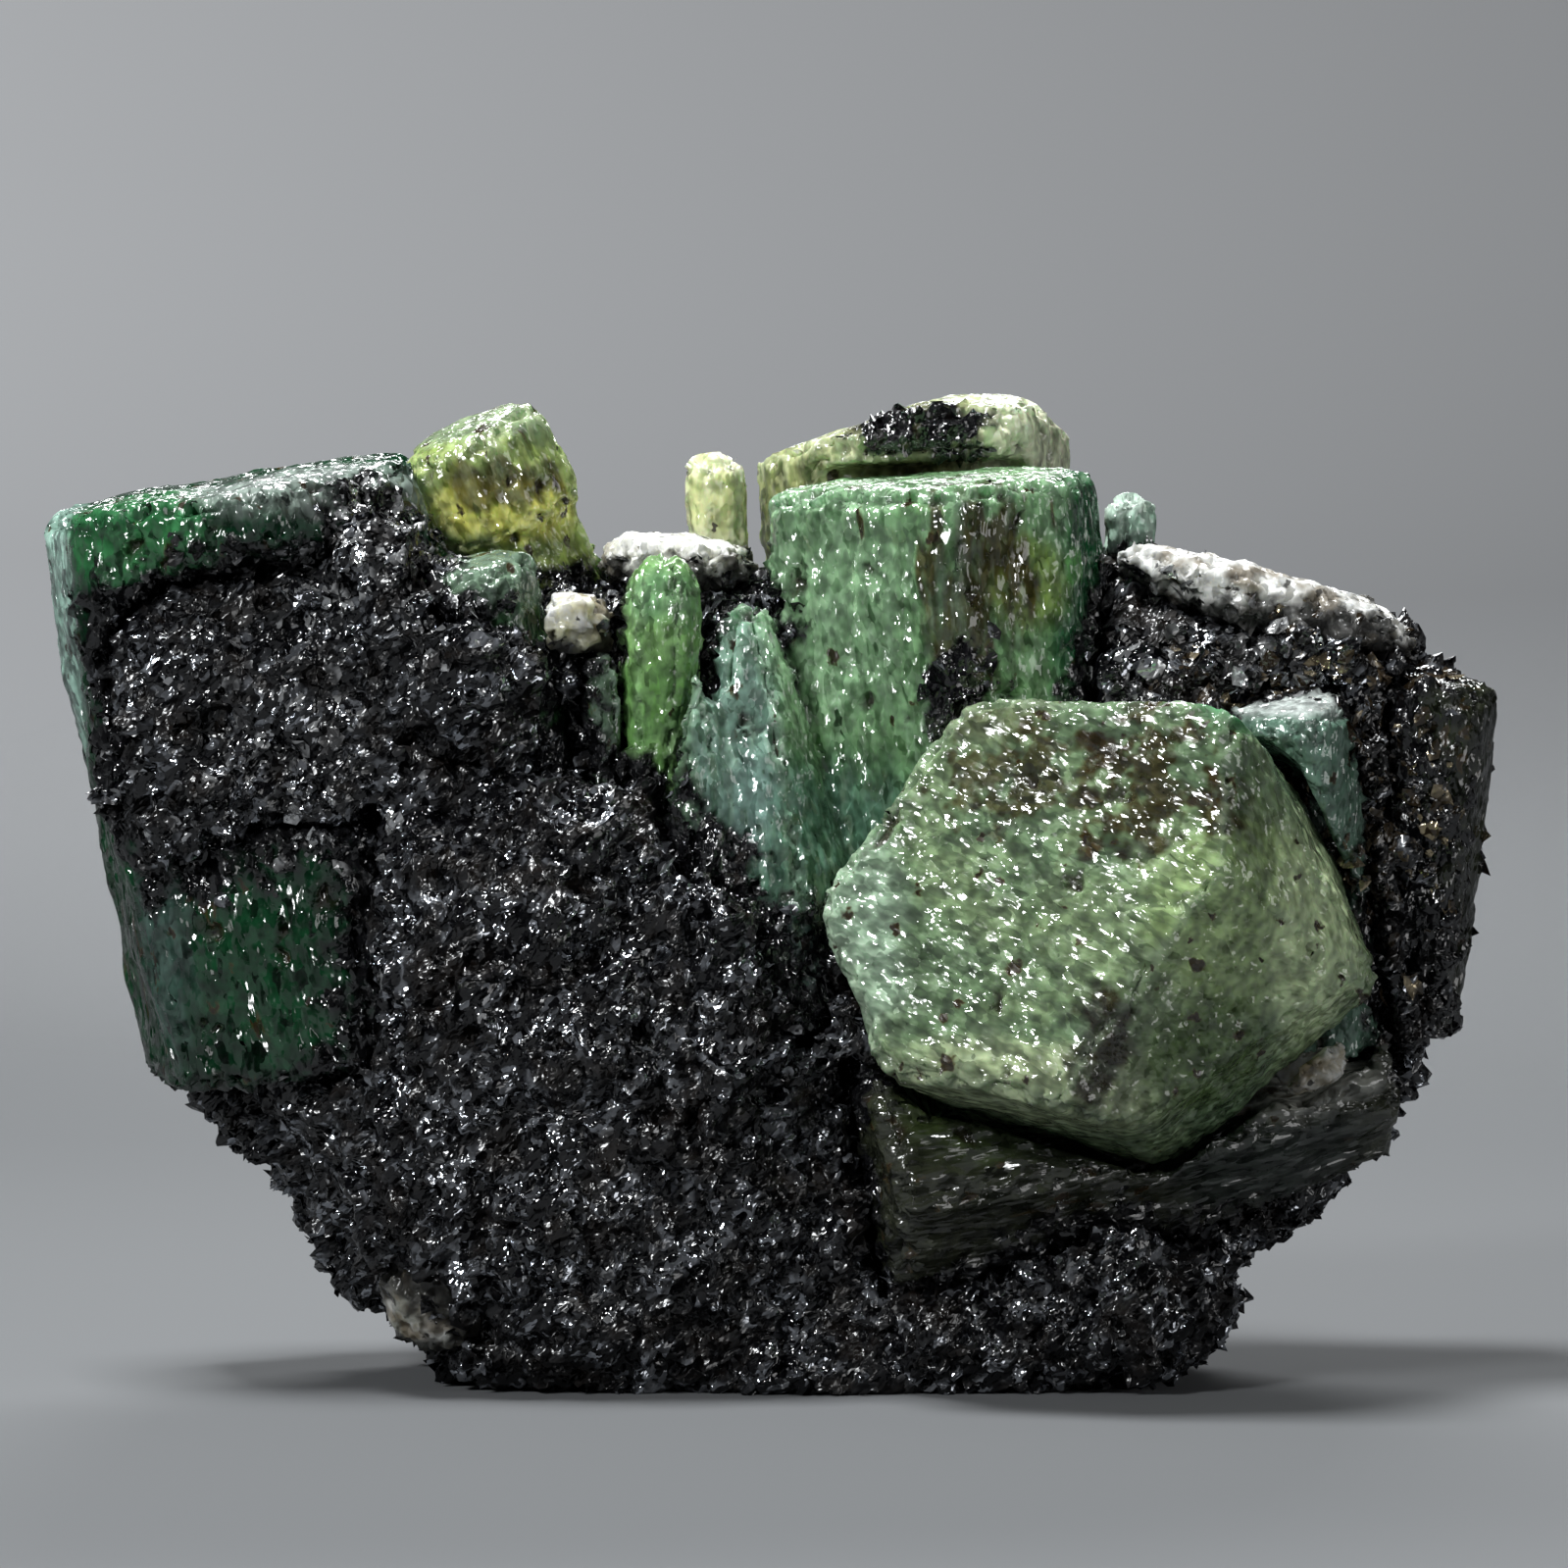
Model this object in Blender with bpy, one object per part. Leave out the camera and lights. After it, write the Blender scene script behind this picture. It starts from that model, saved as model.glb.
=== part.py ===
"""Emerald crystals grown through a block of black mica schist, about 60 mm wide.

The specimen stands on the flat broken underside of its matrix at z = 0, with the
origin in the middle of it. +X is the right side and -Y the display side. All sizes
are in millimetres, and become metres when a mesh is made.
"""

from __future__ import annotations

import math
from collections.abc import Callable, Sequence
from dataclasses import dataclass, replace

import bmesh
import bpy
from mathutils import Matrix, Vector, noise

MM = 0.001

# Driving dimensions of the whole specimen
CLEARANCE = 0.3  # space left round a crystal's ribs where another piece meets it
EDGE_WEAR = 0.07  # share of a prism face that its worn edge takes
RIM_WEAR = 0.35  # how far the rim of an end face is worn back
FACE_LEAN = math.cos(math.radians(30))  # a face moves out by this share of its corners' move
MATRIX_VOXEL = 0.85
MATRIX_KEPT_TRIANGLES = 0.2  # share of the fused skin's triangles that its lumps need
KEPT_TRIANGLES = 0.7  # share of a cut piece's triangles that its shape needs
MATRIX_HALF_DEPTH = 10.2
MATRIX_MIDDLE_Y = 3.0
MATRIX_SQUARENESS = 2.8  # 2 is an ellipse from front to back, more is boxier

# Relief, as depth and size in millimetres
MATRIX_RELIEF = ((0.75, 5.5), (0.4, 2.4))
MATRIX_QUIET_BELOW = 1.5  # height under which the matrix keeps its plain foot
STONE_RELIEF = (0.22, 1.6)
BREAK_RELIEF = (0.5, 3.0)
RIB_RUN = 0.12  # waves of a rib in a millimetre along the crystal
PIT_GRAIN = 0.9  # pits in a millimetre across a side
PIT_RUN = 0.45  # how far the pits of a side are drawn out along it
END_GRAIN = 0.55  # pits in a millimetre across an end face
END_DEPTH = 1.6  # depth of the pits there over the sides' relief
END_LAYER = 7.3  # layer of the noise that the end faces use
END_INSETS = (0.62, 0.3)  # scale of the inner rings of an end face

Point = tuple[float, float, float]
Corners = tuple[tuple[float, float], ...]


@dataclass(frozen=True)
class Finish:
    """Plain colour of a piece."""

    name: str
    colour: Point
    roughness: float = 0.25


@dataclass(frozen=True)
class Cut:
    """A flat bevel or break: what lies beyond the plane is taken off."""

    point: Point
    normal: Point


@dataclass(frozen=True)
class Crystal:
    """A prism that grew from its buried foot to its tip.

    Attributes:
        foot: Middle of the buried end.
        tip: Middle of the open end.
        corners: Angle in degrees and radius of each corner of the cross-section. The
            angle runs from the right toward the back, as seen on an upright crystal.
        profile: Share of the length and scale of the section there, from foot to tip.
        side_steps: Number of strips on each prism face.
        ring_step: Distance between two rings of points along the sides.
        dome: Rise of the middle of the end face over its rim.
        relief: Depth of the pits and ribs.
        ribs: Number of ribs across one radian of the side.
        cuts: Bevels and breaks.
    """

    foot: Point
    tip: Point
    corners: Corners
    profile: Corners = ((0.0, 0.94), (1.0, 1.0))
    side_steps: int = 3
    ring_step: float = 3.2
    dome: float = 0.25
    relief: float = 0.16
    ribs: float = 5.0
    cuts: tuple[Cut, ...] = ()

    def axes(self) -> tuple[Vector, Vector, Vector]:
        """Return the section's two directions and the direction of growth."""
        along = (Vector(self.tip) - Vector(self.foot)).normalized()
        reference = Vector((1, 0, 0)) if abs(along.x) < 0.8 else Vector((0, 0, 1))
        across = (reference - along * reference.dot(along)).normalized()
        return across, along.cross(across), along

    def length(self) -> float:
        """Return the distance from foot to tip."""
        return (Vector(self.tip) - Vector(self.foot)).length

    def scale_at(self, share: float) -> float:
        """Return the scale of the section at a share of the length."""
        for (low, first), (high, last) in zip(self.profile, self.profile[1:]):
            if share <= high:
                return first + (last - first) * (share - low) / max(high - low, 1e-6)
        return self.profile[-1][1]

    def section(self) -> list[tuple[float, float]]:
        """Return the section's points, with each corner worn to a narrow flat."""
        shares = [EDGE_WEAR]
        inner = 1.0 - 2.0 * EDGE_WEAR
        shares += [EDGE_WEAR + inner * k / self.side_steps for k in range(1, self.side_steps)]
        shares.append(1.0 - EDGE_WEAR)
        points = [(r * math.cos(math.radians(a)), r * math.sin(math.radians(a))) for a, r in self.corners]
        outline = []
        for start, end in zip(points, points[1:] + points[:1]):
            for share in shares:
                outline.append(tuple(s + (e - s) * share for s, e in zip(start, end)))
        return outline

    def heights(self) -> list[float]:
        """Return the shares of the length at which the sides have a ring of points."""
        length = self.length()
        marks = {share for share, _ in self.profile if share < 1.0}
        marks.add(1.0 - RIM_WEAR / length)
        ordered = sorted(marks)
        rings = []
        for low, high in zip(ordered, ordered[1:]):
            steps = max(1, round((high - low) * length / self.ring_step))
            rings += [low + (high - low) * k / steps for k in range(steps)]
        return rings + [ordered[-1]]

    def bump(self, flat: tuple[float, float], height: float) -> float:
        """Return the relief of a side, stretched along the direction of growth."""
        angle = math.atan2(flat[1], flat[0])
        round_it = Vector((math.cos(angle), math.sin(angle), 0)) * self.ribs
        seed = Vector(self.tip)
        ridges = noise.noise(round_it + Vector((0, 0, height * RIB_RUN)) + seed)
        pits = noise.noise(Vector((flat[0], flat[1], height * PIT_RUN)) * PIT_GRAIN + seed)
        return self.relief * (ridges + pits)

    def room(self) -> Crystal:
        """Return the plain prism that holds this one, ribs and pits included."""
        return replace(self, side_steps=1, ring_step=9.0, relief=0.0)

    def rings(self, grow: float = 0.0) -> list[list[Vector]]:
        """Return the rings of points from the foot, up the side and in to the middle.

        Args:
            grow: How far the whole skin is moved out.
        """
        across, back, along = self.axes()
        foot, length, outline = Vector(self.foot), self.length(), self.section()
        heights = self.heights()
        rings = []
        for share in heights:
            scale, ring = self.scale_at(share), []
            level = share * length + grow * ((share == heights[-1]) - (share == 0.0))
            for x, y in outline:
                swell = scale + (self.bump((x, y), share * length) + grow / FACE_LEAN) / math.hypot(x, y)
                ring.append(foot + along * level + (across * x + back * y) * swell)
            rings.append(ring)
        end_scale = self.scale_at(1.0)
        mean_radius = sum(radius for _, radius in self.corners) / len(self.corners)
        for inset in (1.0 - RIM_WEAR / mean_radius, *END_INSETS):
            ring = []
            for x, y in outline:
                flat = Vector((x, y)) * end_scale * inset
                pit = noise.noise(Vector((flat.x, flat.y, END_LAYER)) * END_GRAIN + foot) * self.relief * END_DEPTH
                rise = self.dome * (1.0 - inset * inset) + pit * (1.0 - inset**6)
                wide = 1.0 + grow / FACE_LEAN / math.hypot(x, y)
                place = across * flat.x * wide + back * flat.y * wide
                ring.append(foot + along * (length + rise + grow) + place)
            rings.append(ring)
        return rings


@dataclass(frozen=True)
class Lump:
    """A rounded block of stone: a superellipsoid, tilted in the picture plane."""

    centre: Point
    radii: Point
    squareness: float = 2.3
    tilt: float = 0.0
    columns: int = 20
    rows: int = 12

    def rings(self, grow: float = 0.0) -> list[list[Vector]]:
        """Return the rings of points from the underside to the top.

        Args:
            grow: How far the whole skin is moved out.
        """
        power = 2.0 / self.squareness
        wide, deep, high = (radius + grow for radius in self.radii)
        turn = Matrix.Rotation(math.radians(self.tilt), 3, "Y")
        centre, rings = Vector(self.centre), []
        for row in range(1, self.rows):
            lift = math.pi * (row / self.rows - 0.5)
            ring = []
            for column in range(self.columns):
                around = 2.0 * math.pi * column / self.columns
                level = signed_power(math.cos(lift), power)
                point = Vector(
                    (
                        wide * level * signed_power(math.cos(around), power),
                        deep * level * signed_power(math.sin(around), power),
                        high * signed_power(math.sin(lift), power),
                    )
                )
                ring.append(centre + turn @ point)
            rings.append(ring)
        return rings


def signed_power(value: float, power: float) -> float:
    """Return the value's size raised to a power, with its sign kept."""
    return math.copysign(abs(value) ** power, value)


def hexagon(radius: float, turn: float = 0.0) -> Corners:
    """Return the corners of a regular six-sided section."""
    return tuple((turn + 60.0 * k, radius) for k in range(6))


# Outline of the matrix as the display side shows it, counter-clockwise from the left
MATRIX_OUTLINE = (
    (-23.6, 14.2), (-23.2, 11.4), (-21.0, 9.0), (-19.5, 6.1), (-17.2, 3.2),
    (-13.4, 0.4), (-10.0, -2.2), (2.0, -2.6), (12.6, -2.3), (16.4, 0.4),
    (19.3, 3.9), (21.6, 6.8), (24.6, 9.2), (26.4, 12.6), (28.0, 17.0),
    (28.6, 22.5), (28.6, 28.6), (26.8, 30.7), (22.5, 31.8), (17.0, 33.0),
    (9.0, 33.8), (0.0, 33.2), (-5.0, 33.6), (-11.0, 32.8), (-17.0, 30.6),
    (-20.8, 26.6), (-23.0, 20.0),
)
MATRIX_HEART = (2.4, 16.4)

# Lumps, ledges and ridges of the matrix
MATRIX_LUMPS = (
    Lump((2.4, 2.0, 2.0), (14.0, 8.8, 4.4), 3.2),
    Lump((-20.6, -3.2, 26.8), (7.7, 4.9, 6.8), 2.6, -8.0),
    Lump((-13.2, -5.4, 30.3), (6.9, 3.7, 2.6), 2.4, 46.0),
    Lump((-7.4, -2.2, 13.0), (10.8, 7.2, 13.2), 2.8, -4.0),
    Lump((-9.4, -3.4, 18.4), (8.0, 6.6, 7.0), 2.4),
    Lump((-8.0, -1.6, 29.0), (6.4, 4.6, 4.2), 2.6),
    Lump((13.0, -2.4, 18.0), (7.0, 5.8, 6.4), 2.4),
    Lump((24.2, 1.4, 20.0), (3.6, 6.0, 9.0), 2.6),
    Lump((20.8, 0.4, 29.4), (7.4, 4.4, 3.0), 2.4, 16.0),
    Lump((11.0, 0.0, 3.2), (8.6, 8.2, 3.4), 2.8, -6.0),
)

CRYSTALS = {
    "crystal_front": Crystal(
        foot=(15.08, -2.35, 17.09),
        tip=(11.48, -13.4, 20.09),
        corners=((-141, 10.08), (-81, 8.96), (-9, 10.5), (45, 10.12), (114, 9.47), (176, 10.33)),
        profile=((0.0, 0.97), (1.0, 1.0)),
        side_steps=4,
        dome=0.35,
        relief=0.28,
        cuts=(Cut((14.32, -15.3, 16.51), (0.54, -0.76, -0.36)), Cut((17.84, -14.47, 23.79), (0.76, -0.64, 0.1))),
    ),
    "crystal_tilted": Crystal(
        foot=(-7.6, 2.0, 28.2),
        tip=(-12.4, -1.0, 39.1),
        corners=hexagon(3.45, -10),
        profile=((0.0, 0.8), (0.635, 0.86), (0.66, 1.04), (0.8, 1.03), (1.0, 0.95)),
        side_steps=2,
        ring_step=1.8,
        relief=0.1,
    ),
    "crystal_finger": Crystal(
        foot=(-4.5, -5.2, 23.6),
        tip=(-4.2, -6.6, 33.4),
        corners=hexagon(1.75, -8),
        profile=((0.0, 0.72), (0.35, 0.92), (0.7, 1.03), (0.9, 0.93), (1.0, 0.62)),
        side_steps=1,
        ring_step=2.0,
        dome=0.5,
        relief=0.08,
    ),
    "crystal_sliver": Crystal(
        foot=(-6.2, -5.2, 23.4),
        tip=(-6.7, -6.8, 29.6),
        corners=hexagon(1.0, 10),
        profile=((0.0, 0.8), (0.6, 1.0), (1.0, 0.8)),
        side_steps=1,
        dome=0.25,
        relief=0.05,
    ),
    "crystals_central": Crystal(
        foot=(8.2, 0.6, 11.0),
        tip=(6.5, -2.0, 36.9),
        corners=((-159, 7.4), (-85, 7.0), (-40, 7.2), (8, 7.3), (62, 7.4), (132, 7.2)),
        profile=((0.0, 0.97), (1.0, 1.0)),
        side_steps=3,
        relief=0.2,
        ribs=9.0,
    ),
    "crystal_left": Crystal(
        foot=(-18.3, 1.8, 13.4),
        tip=(-22.0, -0.8, 36.8),
        corners=hexagon(8.9, -15),
        profile=((0.0, 0.94), (0.8, 1.0), (1.0, 0.99)),
        side_steps=3,
        relief=0.24,
        cuts=(Cut((-29.5, -3.0, 35.1), (-0.72, -0.1, 0.68)),),
    ),
    "crystal_middle": Crystal(
        foot=(-9.2, -3.4, 22.6),
        tip=(-12.0, -6.2, 33.3),
        corners=hexagon(2.7, 5),
        profile=((0.0, 0.9), (1.0, 1.0)),
        side_steps=2,
        relief=0.14,
    ),
    "crystal_back": Crystal(
        foot=(6.9, 9.4, 22.0),
        tip=(6.0, 7.4, 40.7),
        corners=hexagon(7.1, 8),
        side_steps=2,
        relief=0.22,
        cuts=(Cut((2.65, 7.0, 39.4), (-0.32, -0.05, 0.947)), Cut((12.2, 7.0, 39.9), (0.6, 0.0, 0.8))),
    ),
    "crystal_small_right": Crystal(
        foot=(15.0, 4.0, 29.0),
        tip=(15.1, 3.2, 36.5),
        corners=hexagon(1.25, 12),
        side_steps=1,
        relief=0.07,
    ),
    "crystal_right_inner": Crystal(
        foot=(22.6, -1.8, 13.6),
        tip=(20.9, -5.4, 27.6),
        corners=hexagon(2.8, -6),
        side_steps=2,
        relief=0.14,
    ),
    "crystal_right_end": Crystal(
        foot=(26.2, 1.2, 14.4),
        tip=(27.5, -1.6, 28.7),
        corners=hexagon(2.8, 2),
        profile=((0.0, 0.9), (0.6, 0.97), (1.0, 0.95)),
        side_steps=2,
        relief=0.16,
    ),
    "crystal_lower": Crystal(
        foot=(24.8, -0.8, 12.6),
        tip=(4.0, -5.6, 8.8),
        corners=hexagon(5.1, 18),
        profile=((0.0, 0.74), (0.4, 1.0), (1.0, 0.98)),
        side_steps=2,
        relief=0.26,
        ribs=7.0,
    ),
    "crystal_pale_stub": Crystal(
        foot=(-2.0, 4.4, 30.5),
        tip=(-2.3, 3.2, 38.2),
        corners=hexagon(1.45, 14),
        side_steps=1,
        relief=0.12,
    ),
}

# Columns grown together with the central crystal, joined to it in one solid
CENTRAL_COLUMNS = (
    Crystal(
        foot=(0.4, -4.4, 14.6),
        tip=(-1.0, -5.4, 31.6),
        corners=hexagon(3.4, -4),
        profile=((0.0, 0.9), (0.35, 1.0), (0.66, 0.72), (0.9, 0.48), (1.0, 0.3)),
        side_steps=2,
        dome=0.2,
        relief=0.14,
    ),
    Crystal(
        foot=(-2.4, -5.6, 17.4),
        tip=(-3.1, -7.4, 29.0),
        corners=hexagon(1.4, 6),
        profile=((0.0, 0.9), (0.5, 1.1), (0.85, 0.8), (1.0, 0.35)),
        side_steps=1,
        dome=0.1,
        relief=0.06,
    ),
)

STONES = {
    "quartz_upper": Lump((-7.9, -6.4, 31.0), (1.8, 1.5, 1.25), 2.4, 12.0, 12, 8),
    "quartz_right": Lump((21.7, -5.4, 13.3), (2.0, 1.9, 1.3), 2.3, -20.0, 12, 8),
    "quartz_lower": Lump((-13.2, -4.4, 4.7), (2.5, 2.4, 3.2), 2.5, 8.0, 14, 8),
    "feldspar_ridge": Lump((20.4, -0.8, 32.0), (6.6, 2.6, 1.4), 2.6, 16.5, 18, 8),
    "feldspar_saddle": Lump((-3.9, -0.6, 33.6), (3.4, 3.0, 1.3), 2.4, 4.0, 16, 8),
}

# What broke out of the left crystal, now filled by mica
LEFT_BREAK = Lump((-20.2, -8.6, 28.0), (6.9, 7.0, 5.7), 2.9, -8.0)

FINISHES = {
    "mica_matrix": Finish("black_mica_schist", (0.018, 0.018, 0.022), 0.32),
    "crystal_front": Finish("emerald_pale", (0.16, 0.3, 0.12)),
    "crystal_tilted": Finish("beryl_yellow_green", (0.2, 0.26, 0.04)),
    "crystal_finger": Finish("emerald_grass", (0.07, 0.2, 0.05)),
    "crystal_sliver": Finish("emerald_grey_green", (0.06, 0.12, 0.07)),
    "crystals_central": Finish("emerald_blue_green", (0.08, 0.2, 0.11)),
    "crystal_left": Finish("emerald_deep", (0.02, 0.1, 0.06)),
    "crystal_middle": Finish("emerald_dark", (0.03, 0.1, 0.05)),
    "crystal_back": Finish("beryl_yellow_pale", (0.26, 0.3, 0.1)),
    "crystal_small_right": Finish("beryl_pale_blue", (0.2, 0.34, 0.26)),
    "crystal_right_inner": Finish("emerald_blue_dark", (0.04, 0.12, 0.09)),
    "crystal_right_end": Finish("beryl_olive_dark", (0.05, 0.07, 0.035)),
    "crystal_lower": Finish("beryl_olive_grey", (0.045, 0.07, 0.045)),
    "crystal_pale_stub": Finish("beryl_straw", (0.45, 0.46, 0.22)),
    "quartz_upper": Finish("quartz_straw", (0.32, 0.29, 0.16), 0.2),
    "quartz_right": Finish("quartz_cream", (0.34, 0.32, 0.22), 0.2),
    "quartz_lower": Finish("quartz_grey", (0.25, 0.23, 0.15), 0.2),
    "feldspar_ridge": Finish("feldspar_silver", (0.3, 0.29, 0.22), 0.35),
    "feldspar_saddle": Finish("feldspar_cream", (0.36, 0.33, 0.23), 0.35),
}

# Pieces in the order in which they keep their shape: a later one gives way to an earlier one
PIECE_ORDER = (
    "crystal_front",
    "crystal_tilted",
    "crystal_finger",
    "crystal_sliver",
    "crystals_central",
    "crystal_left",
    "crystal_middle",
    "crystal_back",
    "crystal_small_right",
    "crystal_right_inner",
    "crystal_right_end",
    "quartz_right",
    "crystal_lower",
    "crystal_pale_stub",
    "quartz_upper",
    "quartz_lower",
    "feldspar_ridge",
    "feldspar_saddle",
    "mica_matrix",
)


def clear_scene() -> None:
    """Remove every object of the open scene."""
    for item in list(bpy.data.objects):
        bpy.data.objects.remove(item, do_unlink=True)


def loft(rings: Sequence[Sequence[Vector]]) -> bmesh.types.BMesh:
    """Skin a stack of equal rings of points, and close both ends."""
    mesh = bmesh.new()
    rows = [[mesh.verts.new(point * MM) for point in ring] for ring in rings]
    count = len(rings[0])
    for low, high in zip(rows, rows[1:]):
        for k in range(count):
            nxt = (k + 1) % count
            mesh.faces.new((low[k], low[nxt], high[nxt], high[k]))
    for row in (rows[0], rows[-1]):
        middle = mesh.verts.new(sum((vertex.co for vertex in row), Vector()) / count)
        for k in range(count):
            mesh.faces.new((row[k], row[(k + 1) % count], middle))
    bmesh.ops.recalc_face_normals(mesh, faces=mesh.faces)
    return mesh


def slice_off(mesh: bmesh.types.BMesh, cut: Cut) -> None:
    """Take off what lies beyond a plane, and close the cut with a flat face."""
    geometry = [*mesh.verts, *mesh.edges, *mesh.faces]
    bmesh.ops.bisect_plane(
        mesh,
        geom=geometry,
        dist=1e-7,
        plane_co=Vector(cut.point) * MM,
        plane_no=Vector(cut.normal).normalized(),
        clear_outer=True,
    )
    rim = [edge for edge in mesh.edges if edge.is_boundary]
    bmesh.ops.holes_fill(mesh, edges=rim, sides=0)


def add_object(name: str, mesh: bmesh.types.BMesh) -> bpy.types.Object:
    """Turn a bmesh into an object of the scene, made of triangles that face out."""
    bmesh.ops.triangulate(mesh, faces=mesh.faces)
    bmesh.ops.recalc_face_normals(mesh, faces=mesh.faces)
    data = bpy.data.meshes.new(name)
    mesh.to_mesh(data)
    mesh.free()
    item = bpy.data.objects.new(name, data)
    bpy.context.collection.objects.link(item)
    return item


def rework(item: bpy.types.Object, change: Callable[[bmesh.types.BMesh], None]) -> None:
    """Change an object's mesh in place."""
    mesh = bmesh.new()
    mesh.from_mesh(item.data)
    change(mesh)
    mesh.to_mesh(item.data)
    mesh.free()


def bake(item: bpy.types.Object) -> None:
    """Make an object's modifiers part of its mesh."""
    bpy.context.view_layer.update()
    graph = bpy.context.evaluated_depsgraph_get()
    data = bpy.data.meshes.new_from_object(item.evaluated_get(graph))
    item.modifiers.clear()
    item.data = data


def boolean(item: bpy.types.Object, tool: bpy.types.Object, operation: str) -> None:
    """Join a tool to an object or cut it out, and remove the tool."""
    modifier = item.modifiers.new(operation.title(), "BOOLEAN")
    modifier.operation = operation
    modifier.solver = "EXACT"
    modifier.object = tool
    bake(item)
    bpy.data.objects.remove(tool, do_unlink=True)


def keep_main_body(item: bpy.types.Object) -> None:
    """Drop the chips that a cut leaves beside the main body, and hair-thin faces."""

    def clean(mesh: bmesh.types.BMesh) -> None:
        bmesh.ops.dissolve_degenerate(mesh, dist=2e-6, edges=mesh.edges)
        bmesh.ops.remove_doubles(mesh, verts=mesh.verts, dist=2e-6)
        left, bodies = set(mesh.verts), []
        while left:
            body, front = set(), [left.pop()]
            while front:
                vertex = front.pop()
                body.add(vertex)
                near = {edge.other_vert(vertex) for edge in vertex.link_edges} & left
                left -= near
                front += near
            bodies.append(body)
        main = max(bodies, key=len)
        bmesh.ops.delete(mesh, geom=[v for v in mesh.verts if v not in main], context="VERTS")
        bmesh.ops.triangulate(mesh, faces=mesh.faces)

    rework(item, clean)


def boxes_meet(first: bpy.types.Object, second: bpy.types.Object) -> bool:
    """Tell whether the boxes round two pieces overlap."""
    bounds = []
    for item in (first, second):
        points = [vertex.co for vertex in item.data.vertices]
        bounds.append([(min(p[k] for p in points), max(p[k] for p in points)) for k in range(3)])
    return all(a[0] < b[1] and b[0] < a[1] for a, b in zip(*bounds))


def roughen(mesh: bmesh.types.BMesh, depth: float, size: float, keep_below: float | None = None) -> None:
    """Move a stone's skin in and out by broken, flaky noise.

    Args:
        mesh: The mesh to change.
        depth: Greatest move in millimetres.
        size: Size of the lumps in millimetres.
        keep_below: Height in millimetres under which the skin stays as it is.
    """
    mesh.normal_update()
    shifts = []
    for vertex in mesh.verts:
        place = vertex.co / (size * MM)
        value = noise.noise(place) + 0.5 * noise.noise(place * 2.1) + 0.5 * (noise.cell(place * 1.3) - 0.5)
        keep = keep_below is not None and vertex.co.z < keep_below * MM
        shifts.append(vertex.normal * (0.0 if keep else value * depth * MM))
    for vertex, shift in zip(mesh.verts, shifts):
        vertex.co += shift


def remesh(item: bpy.types.Object, voxel: float) -> None:
    """Fuse all shells of an object into one even skin."""
    modifier = item.modifiers.new("Fuse", "REMESH")
    modifier.mode = "VOXEL"
    modifier.voxel_size = voxel * MM
    bake(item)


def thin_out(item: bpy.types.Object, share: float) -> None:
    """Reduce an object to about a share of its triangles."""
    modifier = item.modifiers.new("Thin", "DECIMATE")
    modifier.ratio = share
    bake(item)


def build_crystal(name: str, crystal: Crystal, grow: float = 0.0) -> bpy.types.Object:
    """Make one crystal with its bevels and breaks, or the room for it if it is grown."""
    if grow > 0.0:
        grow += crystal.relief
        crystal = crystal.room()
    mesh = loft(crystal.rings(grow))
    for cut in crystal.cuts:
        place = Vector(cut.point) + Vector(cut.normal).normalized() * grow
        slice_off(mesh, Cut(tuple(place), cut.normal))
    return add_object(name, mesh)


def build_left_crystal(grow: float = 0.0) -> bpy.types.Object:
    """Make the left crystal, with the hollow where its front broke out."""
    crystal = build_crystal("crystal_left", CRYSTALS["crystal_left"], grow)
    hollow = add_object("break", loft(LEFT_BREAK.rings(-grow)))
    rework(hollow, lambda mesh: roughen(mesh, *BREAK_RELIEF))
    boolean(crystal, hollow, "DIFFERENCE")
    return crystal


def build_stone(name: str, lump: Lump, grow: float = 0.0) -> bpy.types.Object:
    """Make one grain of quartz or feldspar."""
    stone = add_object(name, loft(lump.rings(grow)))
    rework(stone, lambda mesh: roughen(mesh, *STONE_RELIEF))
    return stone


def matrix_pillow(steps: int = 18) -> bmesh.types.BMesh:
    """Return the body of the matrix: its outline, rounded off to the front and back.

    Args:
        steps: Number of steps from the front to the back.
    """
    power = 2.0 / MATRIX_SQUARENESS
    rings = []
    for step in range(1, steps):
        swing = math.pi * (step / steps - 0.5)
        scale = signed_power(math.cos(swing), power)
        depth = MATRIX_MIDDLE_Y + MATRIX_HALF_DEPTH * signed_power(math.sin(swing), power)
        heart = Vector((MATRIX_HEART[0], 0, MATRIX_HEART[1]))
        ring = []
        for x, z in MATRIX_OUTLINE:
            point = heart + (Vector((x, 0, z)) - heart) * scale
            ring.append(Vector((point.x, depth, point.z)))
        rings.append(ring)
    return loft(rings)


def build_matrix() -> bpy.types.Object:
    """Make the mica schist from its pillow and lumps, broken off flat below."""
    body = add_object("mica_matrix", matrix_pillow())
    for lump in MATRIX_LUMPS:
        boolean(body, add_object("lump", loft(lump.rings())), "UNION")
    remesh(body, MATRIX_VOXEL)
    for depth, size in MATRIX_RELIEF:
        rework(body, lambda mesh: roughen(mesh, depth, size, MATRIX_QUIET_BELOW))
    thin_out(body, MATRIX_KEPT_TRIANGLES)
    rework(body, lambda mesh: slice_off(mesh, Cut((0, 0, 0), (0, 0, -1))))
    return body


def shapes_of(name: str, grow: float = 0.0) -> list[bpy.types.Object]:
    """Make the closed shapes that a piece is joined from, with the skin moved out."""
    if name == "mica_matrix":
        return [build_matrix()]
    if name == "crystal_left":
        return [build_left_crystal(grow)]
    if name in STONES:
        return [build_stone(name, STONES[name], grow)]
    shapes = [build_crystal(name, CRYSTALS[name], grow)]
    if name == "crystals_central":
        shapes += [build_crystal("column", column, grow) for column in CENTRAL_COLUMNS]
    return shapes


def build_piece(name: str) -> bpy.types.Object:
    """Make a piece in its full shape, before its neighbours are cut out of it."""
    piece, *columns = shapes_of(name)
    for column in columns:
        boolean(piece, column, "UNION")
    return piece


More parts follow.
